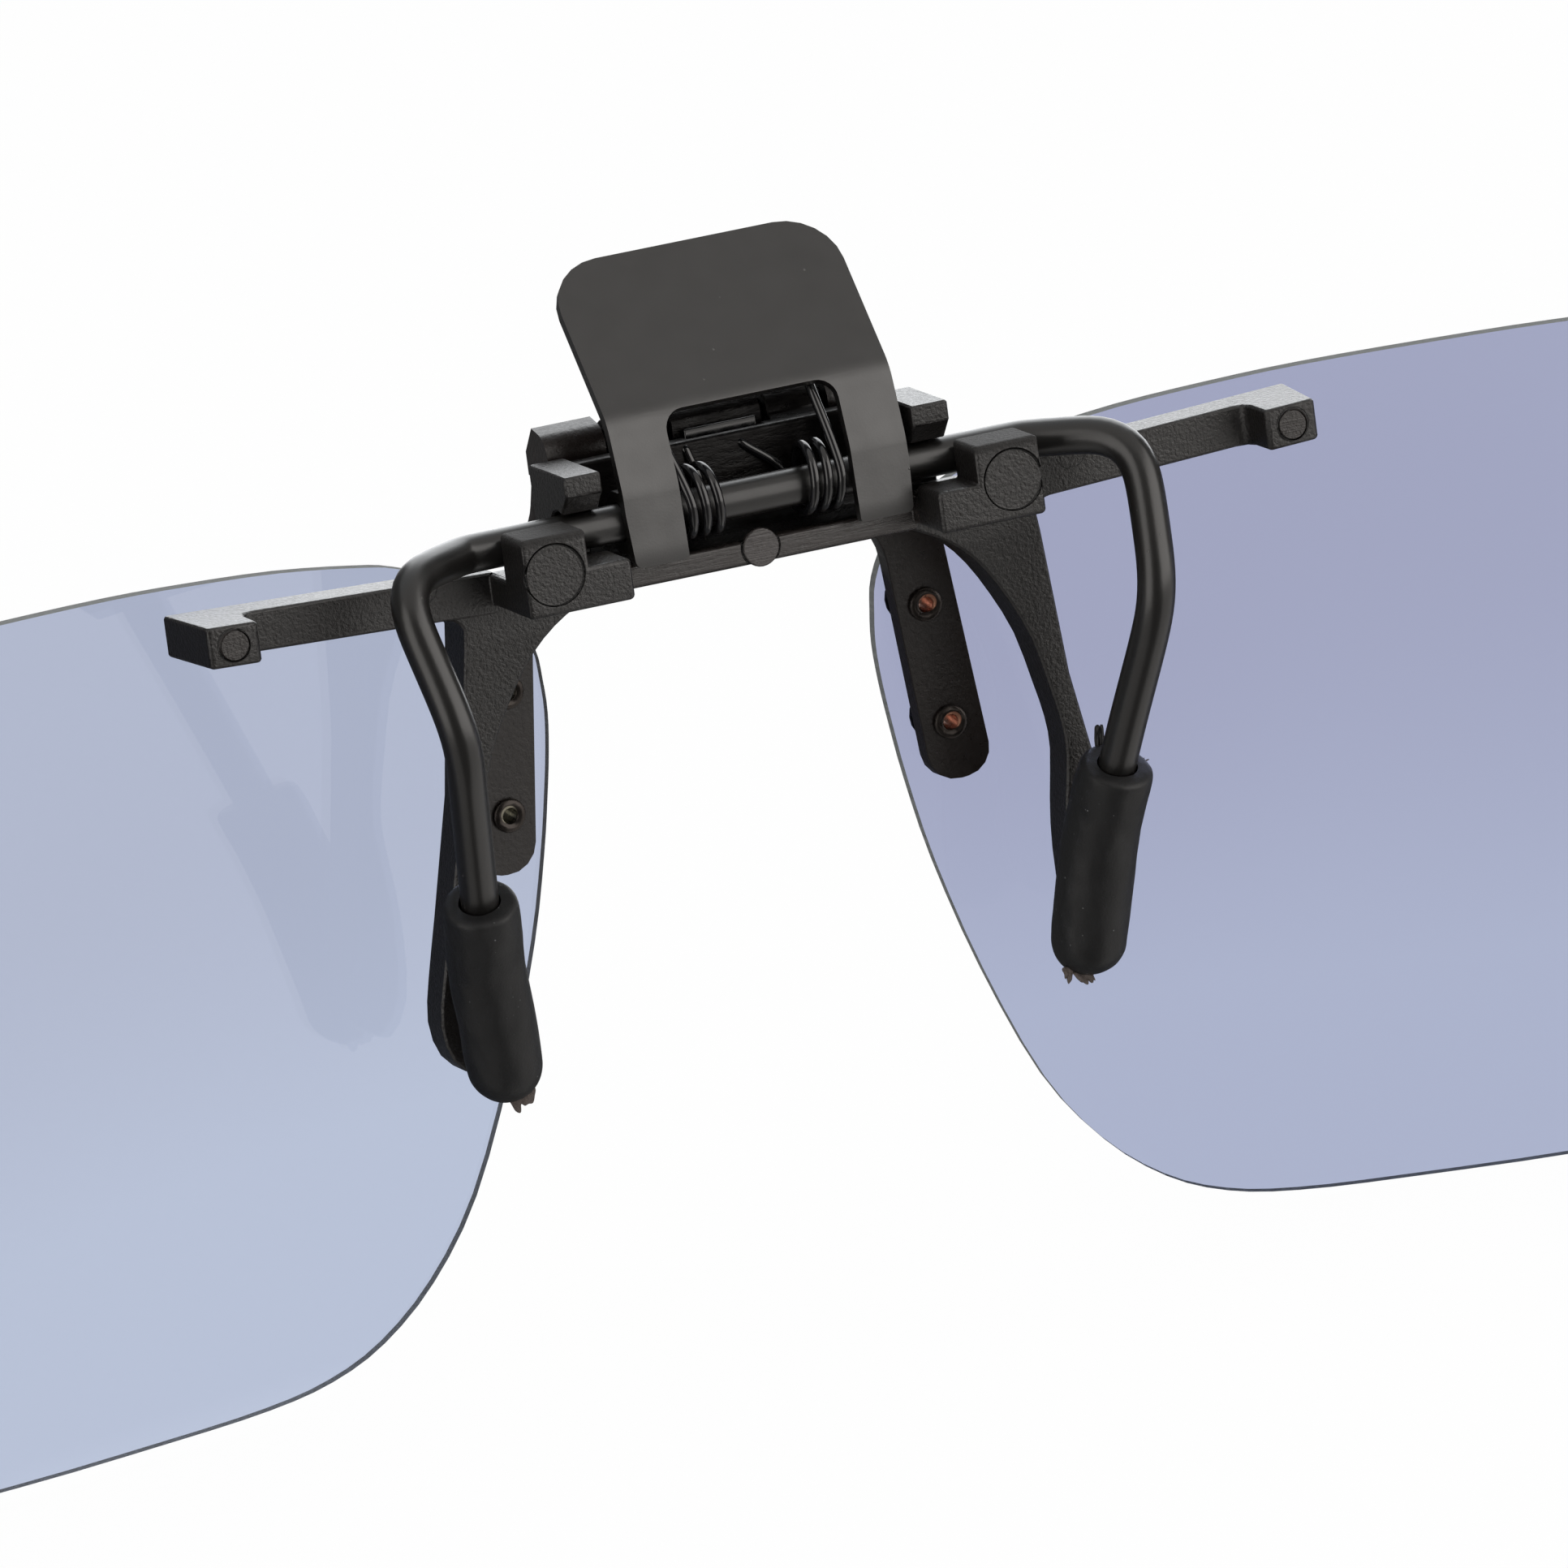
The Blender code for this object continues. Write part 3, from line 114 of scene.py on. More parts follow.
# Studio seen by glossy surfaces: softboxes with heading from -Y towards +X and elevation, in degrees.
# Their light turns from the front tint to the back tint between the two headings of BACK_SIDE.
ROOM_STRENGTH = 0.12
SOFTBOXES = (
    {"heading": (13, 72), "elevation": (-4, 42), "soft": 8, "strength": 2.35},
    {"heading": (16.5, 105), "elevation": (-80, -3), "soft": 2, "strength": 0.8},
    {"heading": (-82, -52), "elevation": (-12, 42), "soft": 9, "strength": 1.8},
    {"heading": (-105, -50), "elevation": (-70, -8), "soft": 9, "strength": 0.5},
    {"heading": (126, 168), "elevation": (1, 50), "soft": 9, "strength": 3.0},
    {"heading": (-180, 180), "elevation": (54, 90), "soft": 14, "strength": 0.72},
)
WHITE = (1, 1, 1, 1)
FRONT_TINT = (1, 0.965, 0.93)
BACK_TINT = (0.96, 0.98, 1)
BACK_SIDE = (85, 120)
FILL_STRENGTH = 0.62
KEY_LAMP_POWER = 1.1
KEY_LAMP_SIZE = 450 * MM
KEY_LAMP_PLACE = Vector((-250 * MM, -160 * MM, 520 * MM))
FLOOR_GAP = 0.2 * MM
FLOOR_SIZE = 6000 * MM
FLOOR_GLOW = 0.975

# Width of the rounding on each solid's sharp edges
EDGE_WIDTHS = {"clip_body": 0.07 * MM, "lens_bridge": 0.1 * MM, "thumb_tab": 0.1 * MM}
SMALL_EDGE_WIDTH = 0.05 * MM
EDGE_SEGMENTS = 2
SUBDIVISIONS = 2

# Range that holds most values of a noise texture
NOISE_RANGE = (0.3, 0.7)

# The clip body's scuffed rail: corners of its box and the width of the border round it
RAIL_LOW = (-8 * MM, -2.2 * MM, -0.3 * MM)
RAIL_HIGH = (8 * MM, -1.2 * MM, 1.9 * MM)
RAIL_BORDER = 0.2 * MM

# Places on the clip body with their own grain: corners of a box, share of the grain and roughness
GRAIN_PLACES = (
    (Vector((-6.5 * MM, -0.8 * MM, 1.5 * MM)), Vector((6.5 * MM, 5 * MM, 8 * MM)), 0.12, 0.13),
    (Vector((-12.6 * MM, -5.2 * MM, 3.7 * MM)), Vector((-9 * MM, -2 * MM, 4.2 * MM)), 1.6, 0.75),
    (Vector((9 * MM, -5.2 * MM, 3.7 * MM)), Vector((12.6 * MM, -2 * MM, 4.2 * MM)), 1.6, 0.75),
    (Vector((-13 * MM, -4 * MM, 6.2 * MM)), Vector((13 * MM, 7 * MM, 9 * MM)), 2.6, 0.3),
    (Vector((-28 * MM, -4 * MM, 2.6 * MM)), Vector((-23.5 * MM, 4 * MM, 4 * MM)), 1.8, 0.3),
    (Vector((23.5 * MM, -4 * MM, 2.6 * MM)), Vector((28 * MM, 4 * MM, 4 * MM)), 1.8, 0.3),
)
PLACE_BORDER = 0.3 * MM

# Round marks of the mould's ejector pins: place on the right half, radius and whether the disc is brushed
EJECTOR_MARKS = (
    ((10.9 * MM, -4.7 * MM, 2.1 * MM), 1.37 * MM, False),
    ((15.45 * MM, 0.0 * MM, 1.75 * MM), 0.7 * MM, False),
    ((25.25 * MM, -2.5 * MM, 1.5 * MM), 0.72 * MM, True),
)
EJECTOR_LINE = 0.045 * MM

# Heights over which the paint's roughness changes to that of its lowest part
FOOT_HEIGHTS = (1.2 * MM, 2.1 * MM)

# Worn spots on the paint: middle, radius, shade and roughness; and the dent at the wire's right bend
TAB_MARKS = ((Vector((5.6 * MM, -3.2 * MM, 7.3 * MM)), 1.4 * MM, 0.03, 0.4),)
WIRE_MARKS = ((Vector((16.7 * MM, -2.4 * MM, 3.2 * MM)), 0.6 * MM, 0.03, 0.5),)
WIRE_NICK = Vector((16.45 * MM, -2.35 * MM, 1.95 * MM))
NICK_SIZE = 0.5 * MM

# Rings of a wire's rounded end: how far beyond the end and how wide, as shares of the radius
END_RINGS = ((0.95, 0.3), (0.6, 0.8))

# The claw wire drawn again along the middles of the CAD wire's rings
WIRE_RADIUS = 0.85 * MM
WIRE_SIDES = 28
WIRE_STEP = 0.4 * MM
WIRE_SMOOTHING = 6

# Space behind the thumb tab, whose faces get painted shade, darker and less glossy
CAVE_LOW = Vector((-6.6 * MM, 0.4 * MM, 1.2 * MM))
CAVE_HIGH = Vector((6.6 * MM, 6.0 * MM, 9.0 * MM))

# Scraps of flash on the sleeves: name, side, place from the tip or the mouth, run and width in
# millimetres, and raggedness
FLASH_SCRAPS = (
    ("left_tip_scrap", "left", ("tip", 0.36, -0.35, 0.5), (0.12, 0, -0.8), 1.5, 0.6),
    ("right_tip_scrap", "right", ("tip", -0.55, -0.35, 0.38), (0.3, 0, -0.62), 1.0, 0.6),
    ("right_tip_sliver", "right", ("tip", -1.15, -0.35, 0.68), (-0.05, 0, -0.62), 0.55, 0.6),
    ("right_mouth_nub", "right", ("mouth", 0.12, 0.95, -0.5), (0.1, 0, 1.35), 0.6, 0.1),
    ("right_mouth_sliver", "right", ("mouth", 1.35, 0.2, -1.15), (0.5, -0.1, 0.16), 0.34, 0.6),
)
SCRAP_THICKNESS = 0.16 * MM
SCRAP_COLUMNS = 9
SCRAP_ROWS = 5
SCRAP_NARROWING = 0.35
SCRAP_CURL = 0.25 * MM
TEAR_STEP = 0.83
CURL_STEPS = (0.5, 0.6)
SLEEVE_END_HEIGHT = 0.9 * MM
SLEEVE_LUMP_SIZE = 2.4 * MM
SLEEVE_LUMP_HEIGHT = 0.16 * MM

# Distance from an eyelet's axis over which the bare bore turns into the blackened outside
BORE_BORDER = (0.37 * MM, 0.43 * MM)
BARE_METALS = {"left": (0.33, 0.31, 0.24), "right": (0.62, 0.3, 0.2)}

# Heights between which a lens gets paler downwards, and places between which the blue turns violet
LENS_PALE_HEIGHTS = (-34 * MM, -8 * MM)
LENS_VIOLET_PLACES = (-12 * MM, 12 * MM)
LENS_CLOUD_SIZE = 30 * MM
LENS_SHADOW_COLOUR = (0.56, 0.6, 0.7, 1)

# Cut-off moulding gate in the middle of the rail
GATE_MIDDLE = Vector((0, -1.0 * MM, 0.72 * MM))
GATE_RADIUS = 0.9 * MM
GATE_LINE = 0.05 * MM

# Springs round the shaft
SHAFT = Vector((0, -1.3 * MM, 3.03 * MM))
COIL_RISE = 0.3 * MM
COIL_RADIUS = 1.48 * MM
COIL_WIRE = 0.44 * MM
COIL_PITCH = 0.64 * MM
COIL_TURNS = 2.5
COIL_MIDDLE_SHIFT = 0.17 * MM
COIL_OUTER_END = 3.56 * MM
COIL_POINTS_PER_TURN = 48
COIL_SIDES = 14

# Legs of the left and the right spring: where they run to from the coil, how straight they leave it and
# their number of points
TAB_LEG_EASE = 2.5 * MM
TAB_LEG_STEPS = 16
WALL_LEG_EASE = 2 * MM
WALL_LEG_STEPS = 12
TAB_LEG_RUNS = (Vector((-1.05 * MM, 2.55 * MM, 5.2 * MM)), Vector((-0.35 * MM, 2.55 * MM, 5.2 * MM)))
WALL_LEG_RUNS = (Vector((-0.3 * MM, 0.5 * MM, 1.9 * MM)), Vector((-1.6 * MM, 0.5 * MM, 1.7 * MM)))


class Nodes:
    """A tree of shader nodes that is built up by calls."""

    def __init__(self, tree):
        self.tree = tree

    def add(self, kind, inputs=(), **settings):
        """A new node with its settings, its inputs given as values or as other nodes' outputs."""
        made = self.tree.nodes.new(kind)
        for name, value in settings.items():
            setattr(made, name, value)
        for name, value in dict(inputs).items():
            self.feed(made.inputs[name], value)
        return made

    def feed(self, socket, value):
        """Links or sets one input."""
        if isinstance(value, bpy.types.NodeSocket):
            self.tree.links.new(value, socket)
        else:
            socket.default_value = value

    def span(self, value, source, target, curve="LINEAR"):
        """A value moved from one range to another."""
        ends = {"Value": value, "From Min": source[0], "From Max": source[1]}
        ends |= {"To Min": target[0], "To Max": target[1]}
        return self.add("ShaderNodeMapRange", ends, interpolation_type=curve).outputs["Result"]

    def maths(self, operation, *values):
        """Arithmetic on values."""
        return self.add("ShaderNodeMath", enumerate(values), operation=operation).outputs["Value"]

    def colour(self, factor, first, second):
        """A colour between two others."""
        mix = self.add("ShaderNodeMix", data_type="RGBA")
        self.feed(mix.inputs[0], factor)
        for socket, value in ((mix.inputs[6], first), (mix.inputs[7], second)):
            self.feed(socket, value if isinstance(value, bpy.types.NodeSocket) else (*value, 1))
        return mix.outputs[2]

    def value(self, factor, first, second):
        """A value between two others."""
        mix = self.add("ShaderNodeMix", data_type="FLOAT")
        for index, value in ((0, factor), (2, first), (3, second)):
            self.feed(mix.inputs[index], value)
        return mix.outputs[0]

    def band(self, value, low, high, soft):
        """1 between two values and 0 outside them, with a soft border."""
        rise = self.span(value, (low - soft, low), (0, 1), "SMOOTHSTEP")
        fall = self.span(value, (high, high + soft), (1, 0), "SMOOTHSTEP")
        return self.maths("MULTIPLY", rise, fall)


class Finish(Nodes):
    """A procedural material that reads the object's own coordinates."""

    def __init__(self, name, **shader_values):
        self.material = bpy.data.materials.new(name)
        self.material.use_nodes = True
        super().__init__(self.material.node_tree)
        self.shader = self.tree.nodes["Principled BSDF"]
        for socket, value in shader_values.items():
            self.shader.inputs[socket.replace("_", " ")].default_value = value
        self.place = self.add("ShaderNodeTexCoord").outputs["Object"]

    def noise(self, size, detail=2, stretch=(1, 1, 1), rough=0.5):
        """Clouds from 0 to 1 with lumps of a size, drawn out along an axis whose stretch is small."""
        spread = self.add(
            "ShaderNodeMapping", {"Vector": self.place, "Scale": [share / size for share in stretch]}
        )
        clouds = self.add(
            "ShaderNodeTexNoise",
            {"Vector": spread.outputs["Vector"], "Scale": 1, "Detail": detail, "Roughness": rough},
        )
        return clouds.outputs["Fac"]

    def cells(self, size):
        """Distance from the middle of each cell of a pattern of a size."""
        spread = self.add("ShaderNodeMapping", {"Vector": self.place, "Scale": [1 / size] * 3})
        pattern = self.add("ShaderNodeTexVoronoi", {"Vector": spread.outputs["Vector"], "Scale": 1})
        return pattern.outputs["Distance"]

    def bump(self, height, strength, depth, below=None):
        """Relief on top of other relief."""
        inputs = {"Height": height, "Strength": strength, "Distance": depth}
        if below:
            inputs["Normal"] = below
        return self.add("ShaderNodeBump", inputs).outputs["Normal"]

    def near(self, centre, inner, outer):
        """1 within the inner distance of a point and 0 beyond the outer one."""
        away = self.add(
            "ShaderNodeVectorMath", {0: self.place, 1: centre}, operation="DISTANCE"
        ).outputs["Value"]
        return self.span(away, (inner, outer), (1, 0), "SMOOTHSTEP")

    def from_axis(self, point):
        """Distance from the line through a point along Y."""
        away = self.add("ShaderNodeVectorMath", {0: self.place, 1: point}, operation="SUBTRACT")
        flat = self.add(
            "ShaderNodeVectorMath", {0: away.outputs["Vector"], 1: (1, 0, 1)}, operation="MULTIPLY"
        )
        length = self.add("ShaderNodeVectorMath", {0: flat.outputs["Vector"]}, operation="LENGTH")
        return length.outputs["Value"]

    def ring(self, point, radius, width):
        """1 on a thin circle round a line along Y, behind the point."""
        off = self.maths("ABSOLUTE", self.maths("SUBTRACT", self.from_axis(point), radius))
        line = self.span(off, (width / 2, width), (1, 0), "SMOOTHSTEP")
        behind = self.span(self.axis("Y"), (point.y, point.y + width), (1, 0))
        return self.maths("MULTIPLY", line, behind)

    def axis(self, name):
        """One coordinate of the place."""
        return self.add("ShaderNodeSeparateXYZ", {"Vector": self.place}).outputs[name]

    def inside(self, low, high, soft):
        """1 inside a box and 0 outside it, with a soft border."""
        across, deep, upright = (
            self.band(self.axis(name), low[index], high[index], soft) for index, name in enumerate("XYZ")
        )
        return self.maths("MULTIPLY", self.maths("MULTIPLY", across, deep), upright)

    def use(self, socket, value):
        """Feeds an input of the surface shader."""
        self.feed(self.shader.inputs[socket], value)

    def blend_shaders(self, factor, first, second):
        """Shows one shader where the factor is 0 and another where it is 1."""
        mix = self.add("ShaderNodeMixShader", {0: factor, 1: first, 2: second})
        self.feed(self.tree.nodes["Material Output"].inputs["Surface"], mix.outputs["Shader"])

    def wear(self, *names):
        """Adds the finish to pieces. The first one covers a piece, a second one its marked faces."""
        for name in names:
            bpy.data.objects[name].data.materials.append(self.material)


def moulded_black():
    """Grained satin plastic of the clip body, with a scuffed rail, ejector marks and a smooth inside."""
    finish = Finish("moulded_black", Specular_IOR_Level=0.62)
    grain = finish.noise(0.15 * MM, detail=3, rough=0.6)
    pits = finish.cells(0.26 * MM)
    tone = finish.noise(1.6 * MM, detail=4)
    rail = finish.inside(RAIL_LOW, RAIL_HIGH, RAIL_BORDER)
    streaks = finish.noise(0.12 * MM, detail=3, stretch=(0.05, 1, 1), rough=0.7)
    base = finish.colour(tone, (0.0056, 0.0050, 0.0048), (0.0110, 0.0096, 0.0090))
    brushed = finish.colour(streaks, (0.008, 0.0064, 0.006), (0.034, 0.027, 0.024))
    base = finish.colour(rail, base, brushed)
    matte = finish.span(grain, NOISE_RANGE, (0.27, 0.42))
    shiny = finish.span(streaks, NOISE_RANGE, (0.2, 0.38))
    rough = finish.value(rail, matte, shiny)
    plain = finish.span(rail, (0, 1), (1, 0.25))
    for low, high, share, gloss in GRAIN_PLACES:
        place = finish.inside(low, high, PLACE_BORDER)
        plain = finish.value(place, plain, share)
        rough = finish.value(place, rough, gloss)
    outline = finish.ring(GATE_MIDDLE, GATE_RADIUS, GATE_LINE)
    disc = finish.span(finish.from_axis(GATE_MIDDLE), (GATE_RADIUS * 0.9, GATE_RADIUS), (1, 0))
    disc = finish.maths("MULTIPLY", disc, rail)
    cuts = finish.noise(0.2 * MM, detail=4, rough=0.75)
    base = finish.colour(disc, base, finish.colour(cuts, (0.006, 0.005, 0.005), (0.075, 0.064, 0.06)))
    base = finish.colour(outline, base, (0.001, 0.001, 0.001))
    plain = finish.maths("SUBTRACT", plain, finish.maths("MULTIPLY", outline, 4))
    brush = None
    for sign in (-1, 1):
        for point, radius, brushed_face in EJECTOR_MARKS:
            centre = Vector((sign * point[0], point[1], point[2]))
            groove = finish.ring(centre, radius, EJECTOR_LINE)
            plain = finish.maths("SUBTRACT", plain, finish.maths("MULTIPLY", groove, 3))
            base = finish.colour(groove, base, (0.003, 0.003, 0.003))
            if brushed_face:
                face = finish.span(finish.from_axis(centre), (radius * 0.9, radius), (1, 0))
                back = finish.span(finish.axis("Y"), (point[1], point[1] + 0.1 * MM), (1, 0))
                face = finish.maths("MULTIPLY", face, back)
                brush = finish.maths("MAXIMUM", brush, face) if brush else face
    base = finish.colour(finish.maths("MULTIPLY", brush, 0.8), base, brushed)
    finish.use("Base Color", base)
    finish.use("Roughness", rough)
    normal = finish.bump(finish.maths("MULTIPLY", grain, plain), 1, 0.045 * MM)
    normal = finish.bump(finish.maths("MULTIPLY", pits, plain), 0.3, 0.03 * MM, normal)
    scratched = finish.maths("MULTIPLY", streaks, finish.maths("MAXIMUM", rail, brush))
    normal = finish.bump(scratched, 0.8, 0.05 * MM, normal)
    finish.use("Normal", normal)
    return finish


def painted_shade_black():
    """Painted shade on the faces in the closed space behind the thumb tab: nearly black and weakly
    glossy, with faint tool marks.
    """
    finish = Finish("painted_shade_black", Specular_IOR_Level=0.16)
    marks = finish.noise(0.35 * MM, detail=4, stretch=(0.3, 1, 1), rough=0.7)
    finish.use("Base Color", finish.colour(marks, (0.0024, 0.0021, 0.002), (0.0095, 0.0078, 0.0072)))
    finish.use("Roughness", finish.span(marks, NOISE_RANGE, (0.2, 0.5)))
    finish.use("Normal", finish.bump(marks, 0.7, 0.08 * MM))
    return finish


def smooth_black():
    """Smoother brownish plastic of the lens bridge and its washers."""
    finish = Finish("smooth_black", Specular_IOR_Level=0.5)
    tone = finish.noise(2.2 * MM, detail=4)
    speckle = finish.noise(0.22 * MM, detail=3, rough=0.65)
    finish.use("Base Color", finish.colour(tone, (0.0070, 0.0050, 0.0046), (0.0150, 0.0110, 0.0094)))
    finish.use("Roughness", finish.span(speckle, NOISE_RANGE, (0.26, 0.38)))
    normal = finish.bump(speckle, 0.5, 0.04 * MM)
    finish.use("Normal", finish.bump(tone, 0.3, 0.1 * MM, normal))
    return finish


def satin_paint(name, gloss, foot_gloss, marks, nick=None):
    """Satin black paint on steel, with a faint ripple, specks and worn marks."""
    finish = Finish(name, Specular_IOR_Level=gloss)
    ripple = finish.noise(1.4 * MM, detail=2)
    fine = finish.noise(0.11 * MM, detail=2, rough=0.6)
    foot = finish.span(finish.axis("Z"), FOOT_HEIGHTS, (1, 0), "SMOOTHSTEP")
    speck = finish.span(finish.cells(1.3 * MM), (0.03, 0.05), (1, 0))
    base = finish.colour(ripple, (0.0058, 0.0054, 0.0050), (0.0092, 0.0084, 0.0078))
    base = finish.colour(finish.maths("MULTIPLY", speck, 0.5), base, (0.09, 0.085, 0.08))
    rough = finish.value(foot, finish.span(ripple, NOISE_RANGE, (0.28, 0.36)), foot_gloss)
    for centre, radius, shade, worn in marks:
        smudge = finish.near(centre, radius * 0.35, radius)
        broken = finish.span(finish.noise(radius * 0.8, detail=3), (0.3, 0.6), (0.25, 1))
        smudge = finish.maths("MULTIPLY", smudge, broken)
        base = finish.colour(smudge, base, (shade, shade * 0.97, shade * 0.94))
        rough = finish.value(smudge, rough, worn)
    finish.use("Base Color", base)
    finish.use("Roughness", rough)
    normal = finish.bump(fine, 0.3, 0.01 * MM)
    normal = finish.bump(ripple, 0.1, 0.05 * MM, normal)
    if nick:
        dent = finish.maths("MULTIPLY", finish.near(nick, 0, NICK_SIZE), -1)
        normal = finish.bump(dent, 0.9, 0.3 * MM, normal)
    finish.use("Normal", finish.bump(speck, 0.3, 0.03 * MM, normal))
    return finish


def blackened_wire():
    """Oiled black spring steel with fine drawing lines."""
    finish = Finish("blackened_wire", Specular_IOR_Level=0.7)
    tone = finish.noise(0.5 * MM, detail=3)
    drawn = finish.noise(0.05 * MM, detail=2)
    finish.use("Base Color", finish.colour(tone, (0.003, 0.003, 0.0033), (0.007, 0.007, 0.008)))
    finish.use("Roughness", finish.span(tone, NOISE_RANGE, (0.09, 0.17)))
    finish.use("Normal", finish.bump(drawn, 0.1, 0.008 * MM))
    return finish


def matte_rubber():
    """Matte black rubber with soft dents and, in places, specks of dust."""
    finish = Finish("matte_rubber", Specular_IOR_Level=0.34)
    mottle = finish.noise(1.8 * MM, detail=3)
    dents = finish.noise(1.5 * MM, detail=1, stretch=(1, 1, 0.6))
    skin = finish.noise(0.13 * MM, detail=3, rough=0.65)
    dusty = finish.span(finish.noise(2.2 * MM), (0.45, 0.6), (0, 1))
    dust = finish.maths("MULTIPLY", finish.span(finish.cells(0.5 * MM), (0.06, 0.09), (1, 0)), dusty)
    base = finish.colour(mottle, (0.0062, 0.0062, 0.0065), (0.0115, 0.0115, 0.012))
    finish.use("Base Color", finish.colour(dust, base, (0.13, 0.13, 0.13)))
    finish.use("Roughness", finish.span(mottle, NOISE_RANGE, (0.42, 0.56)))
    normal = finish.bump(dents, 0.8, 0.3 * MM)
    normal = finish.bump(skin, 0.5, 0.03 * MM, normal)
    finish.use("Normal", finish.bump(dust, 0.4, 0.03 * MM, normal))
    return finish


def torn_rubber():
    """Brownish grey torn flash."""
    finish = Finish("torn_rubber", Specular_IOR_Level=0.3)
    torn = finish.noise(0.12 * MM, detail=4, rough=0.7)
    finish.use("Base Color", finish.colour(torn, (0.03, 0.026, 0.024), (0.2, 0.16, 0.14)))
    finish.use("Roughness", finish.span(torn, NOISE_RANGE, (0.5, 0.8)))
    finish.use("Normal", finish.bump(torn, 1, 0.08 * MM))
    return finish


def eyelet(node, bore_colour):
    """Blackened eyelet whose bore and inner rim show bare metal."""
    low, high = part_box(node)
    finish = Finish(f"eyelet_{node}", Metallic=0.85)
    radius = finish.from_axis((low + high) / 2)
    bore = finish.span(radius, BORE_BORDER, (1, 0), "SMOOTHSTEP")
    tone = finish.noise(0.3 * MM, detail=3)
    dark = finish.colour(tone, (0.02, 0.017, 0.016), (0.055, 0.047, 0.042))
    bare = finish.colour(tone, [share * 0.55 for share in bore_colour], bore_colour)
    finish.use("Base Color", finish.colour(bore, dark, bare))
    finish.use("Roughness", finish.span(tone, NOISE_RANGE, (0.24, 0.4)))
    finish.use("Normal", finish.bump(finish.noise(0.09 * MM), 0.2, 0.012 * MM))
    return finish


def tinted_lens():
    """Clear polished blue grey lens, a little paler towards its lower edge."""
    finish = Finish("tinted_lens", Roughness=0.0, IOR=1.5, Transmission_Weight=1.0)
    low = finish.span(finish.axis("Z"), LENS_PALE_HEIGHTS, (1, 0), "SMOOTHSTEP")
    left = finish.span(finish.axis("X"), LENS_VIOLET_PLACES, (1, 0), "SMOOTHSTEP")
    drift = finish.maths("MULTIPLY", finish.noise(LENS_CLOUD_SIZE, detail=1), 0.5)
    violet = finish.colour(finish.maths("ADD", drift, low), (0.365, 0.383, 0.545), (0.44, 0.485, 0.65))
    blue = finish.colour(finish.maths("ADD", drift, low), (0.415, 0.455, 0.59), (0.475, 0.535, 0.685))
    finish.use("Base Color", finish.colour(left, violet, blue))
    clear = finish.add("ShaderNodeBsdfTransparent", {"Color": LENS_SHADOW_COLOUR})
    shadow = finish.add("ShaderNodeLightPath").outputs["Is Shadow Ray"]
    finish.blend_shaders(shadow, finish.shader.outputs["BSDF"], clear.outputs["BSDF"])
    return finish


def ground_edge():
    """Rough olive grey rim left by the grinding of the lens's outline."""
    finish = Finish("ground_edge", Specular_IOR_Level=0.12)
    lines = finish.noise(0.25 * MM, detail=4, stretch=(1, 0.3, 1), rough=0.7)
    finish.use("Base Color", finish.colour(lines, (0.08, 0.088, 0.094), (0.3, 0.31, 0.3)))
    finish.use("Roughness", finish.span(lines, NOISE_RANGE, (0.6, 0.85)))
    finish.use("Normal", finish.bump(lines, 0.6, 0.05 * MM))
    return finish


def add_object(name, bm):
    """Links a finished bmesh as a smooth object."""
    bmesh.ops.recalc_face_normals(bm, faces=bm.faces)
    mesh = bpy.data.meshes.new(name)
    bm.to_mesh(mesh)
    bm.free()
    mesh.shade_smooth()
    obj = bpy.data.objects.new(name, mesh)
    bpy.context.scene.collection.objects.link(obj)
    return obj


def welded(node):
    """The faces of a CAD node, joined into one skin."""
    bm = bmesh.new()
    bm.from_mesh(nodes[node].data)
    bmesh.ops.remove_doubles(bm, verts=bm.verts, dist=WELD_DISTANCE)
    return bm


def settle(made, node):
    """Puts a finer piece in the place of the CAD node that it stands for."""
    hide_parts(node)
    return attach(made, BODIES[node])


def in_cave(face):
    """Whether a face lies in the space behind the thumb tab."""
    middle = face.calc_center_median()
    return all(CAVE_LOW[axis] < middle[axis] < CAVE_HIGH[axis] for axis in range(3))


def rounded_copy(node, edge):
    """The solid with its flat faces whole, its round faces smooth and its sharp edges rounded."""
    bm = welded(node)
    bmesh.ops.dissolve_limit(bm, angle_limit=FLAT_ANGLE, verts=bm.verts, edges=bm.edges)
    for line in bm.edges:
        line.smooth = not line.is_manifold or line.calc_face_angle() < SHARP_ANGLE
    # Faces behind the thumb tab take the second material, which paints shade on them
    if node in ("clip_body", "lens_bridge"):
        for face in bm.faces:
            face.material_index = int(in_cave(face))
    made = add_object(f"{node}_finished", bm)
    bevel = made.modifiers.new("edges", "BEVEL")
    bevel.width = edge
    bevel.segments = EDGE_SEGMENTS
    bevel.limit_method = "ANGLE"
    bevel.angle_limit = SHARP_ANGLE
    # The clip body's narrowest faces would hold back the rounding of all its edges.
    bevel.use_clamp_overlap = node != "clip_body"
    normals = made.modifiers.new("normals", "WEIGHTED_NORMAL")
    normals.keep_sharp = True
    return settle(made, node)


def subdivided_copy(node):
    """The solid as a smooth surface that keeps its sharp rims."""
    bm = welded(node)
    bmesh.ops.join_triangles(
        bm, faces=bm.faces, angle_face_threshold=SHARP_ANGLE, angle_shape_threshold=QUAD_ANGLE
    )
    crease = bm.edges.layers.float.new("crease_edge")
    for line in bm.edges:
        if line.is_manifold and line.calc_face_angle() > CREASE_ANGLE:
            line[crease] = 1
            line.smooth = False
    made = add_object(f"{node}_finished", bm)
    smooth = made.modifiers.new("smooth", "SUBSURF")
    smooth.levels = smooth.render_levels = SUBDIVISIONS
    return settle(made, node)


def sphere_through(points):
    """The middle of the sphere that lies closest to some points."""
    points = np.array(points)
    table = np.column_stack((2 * points, np.ones(len(points))))
    return Vector(np.linalg.lstsq(table, (points**2).sum(axis=1), rcond=None)[0][:3])


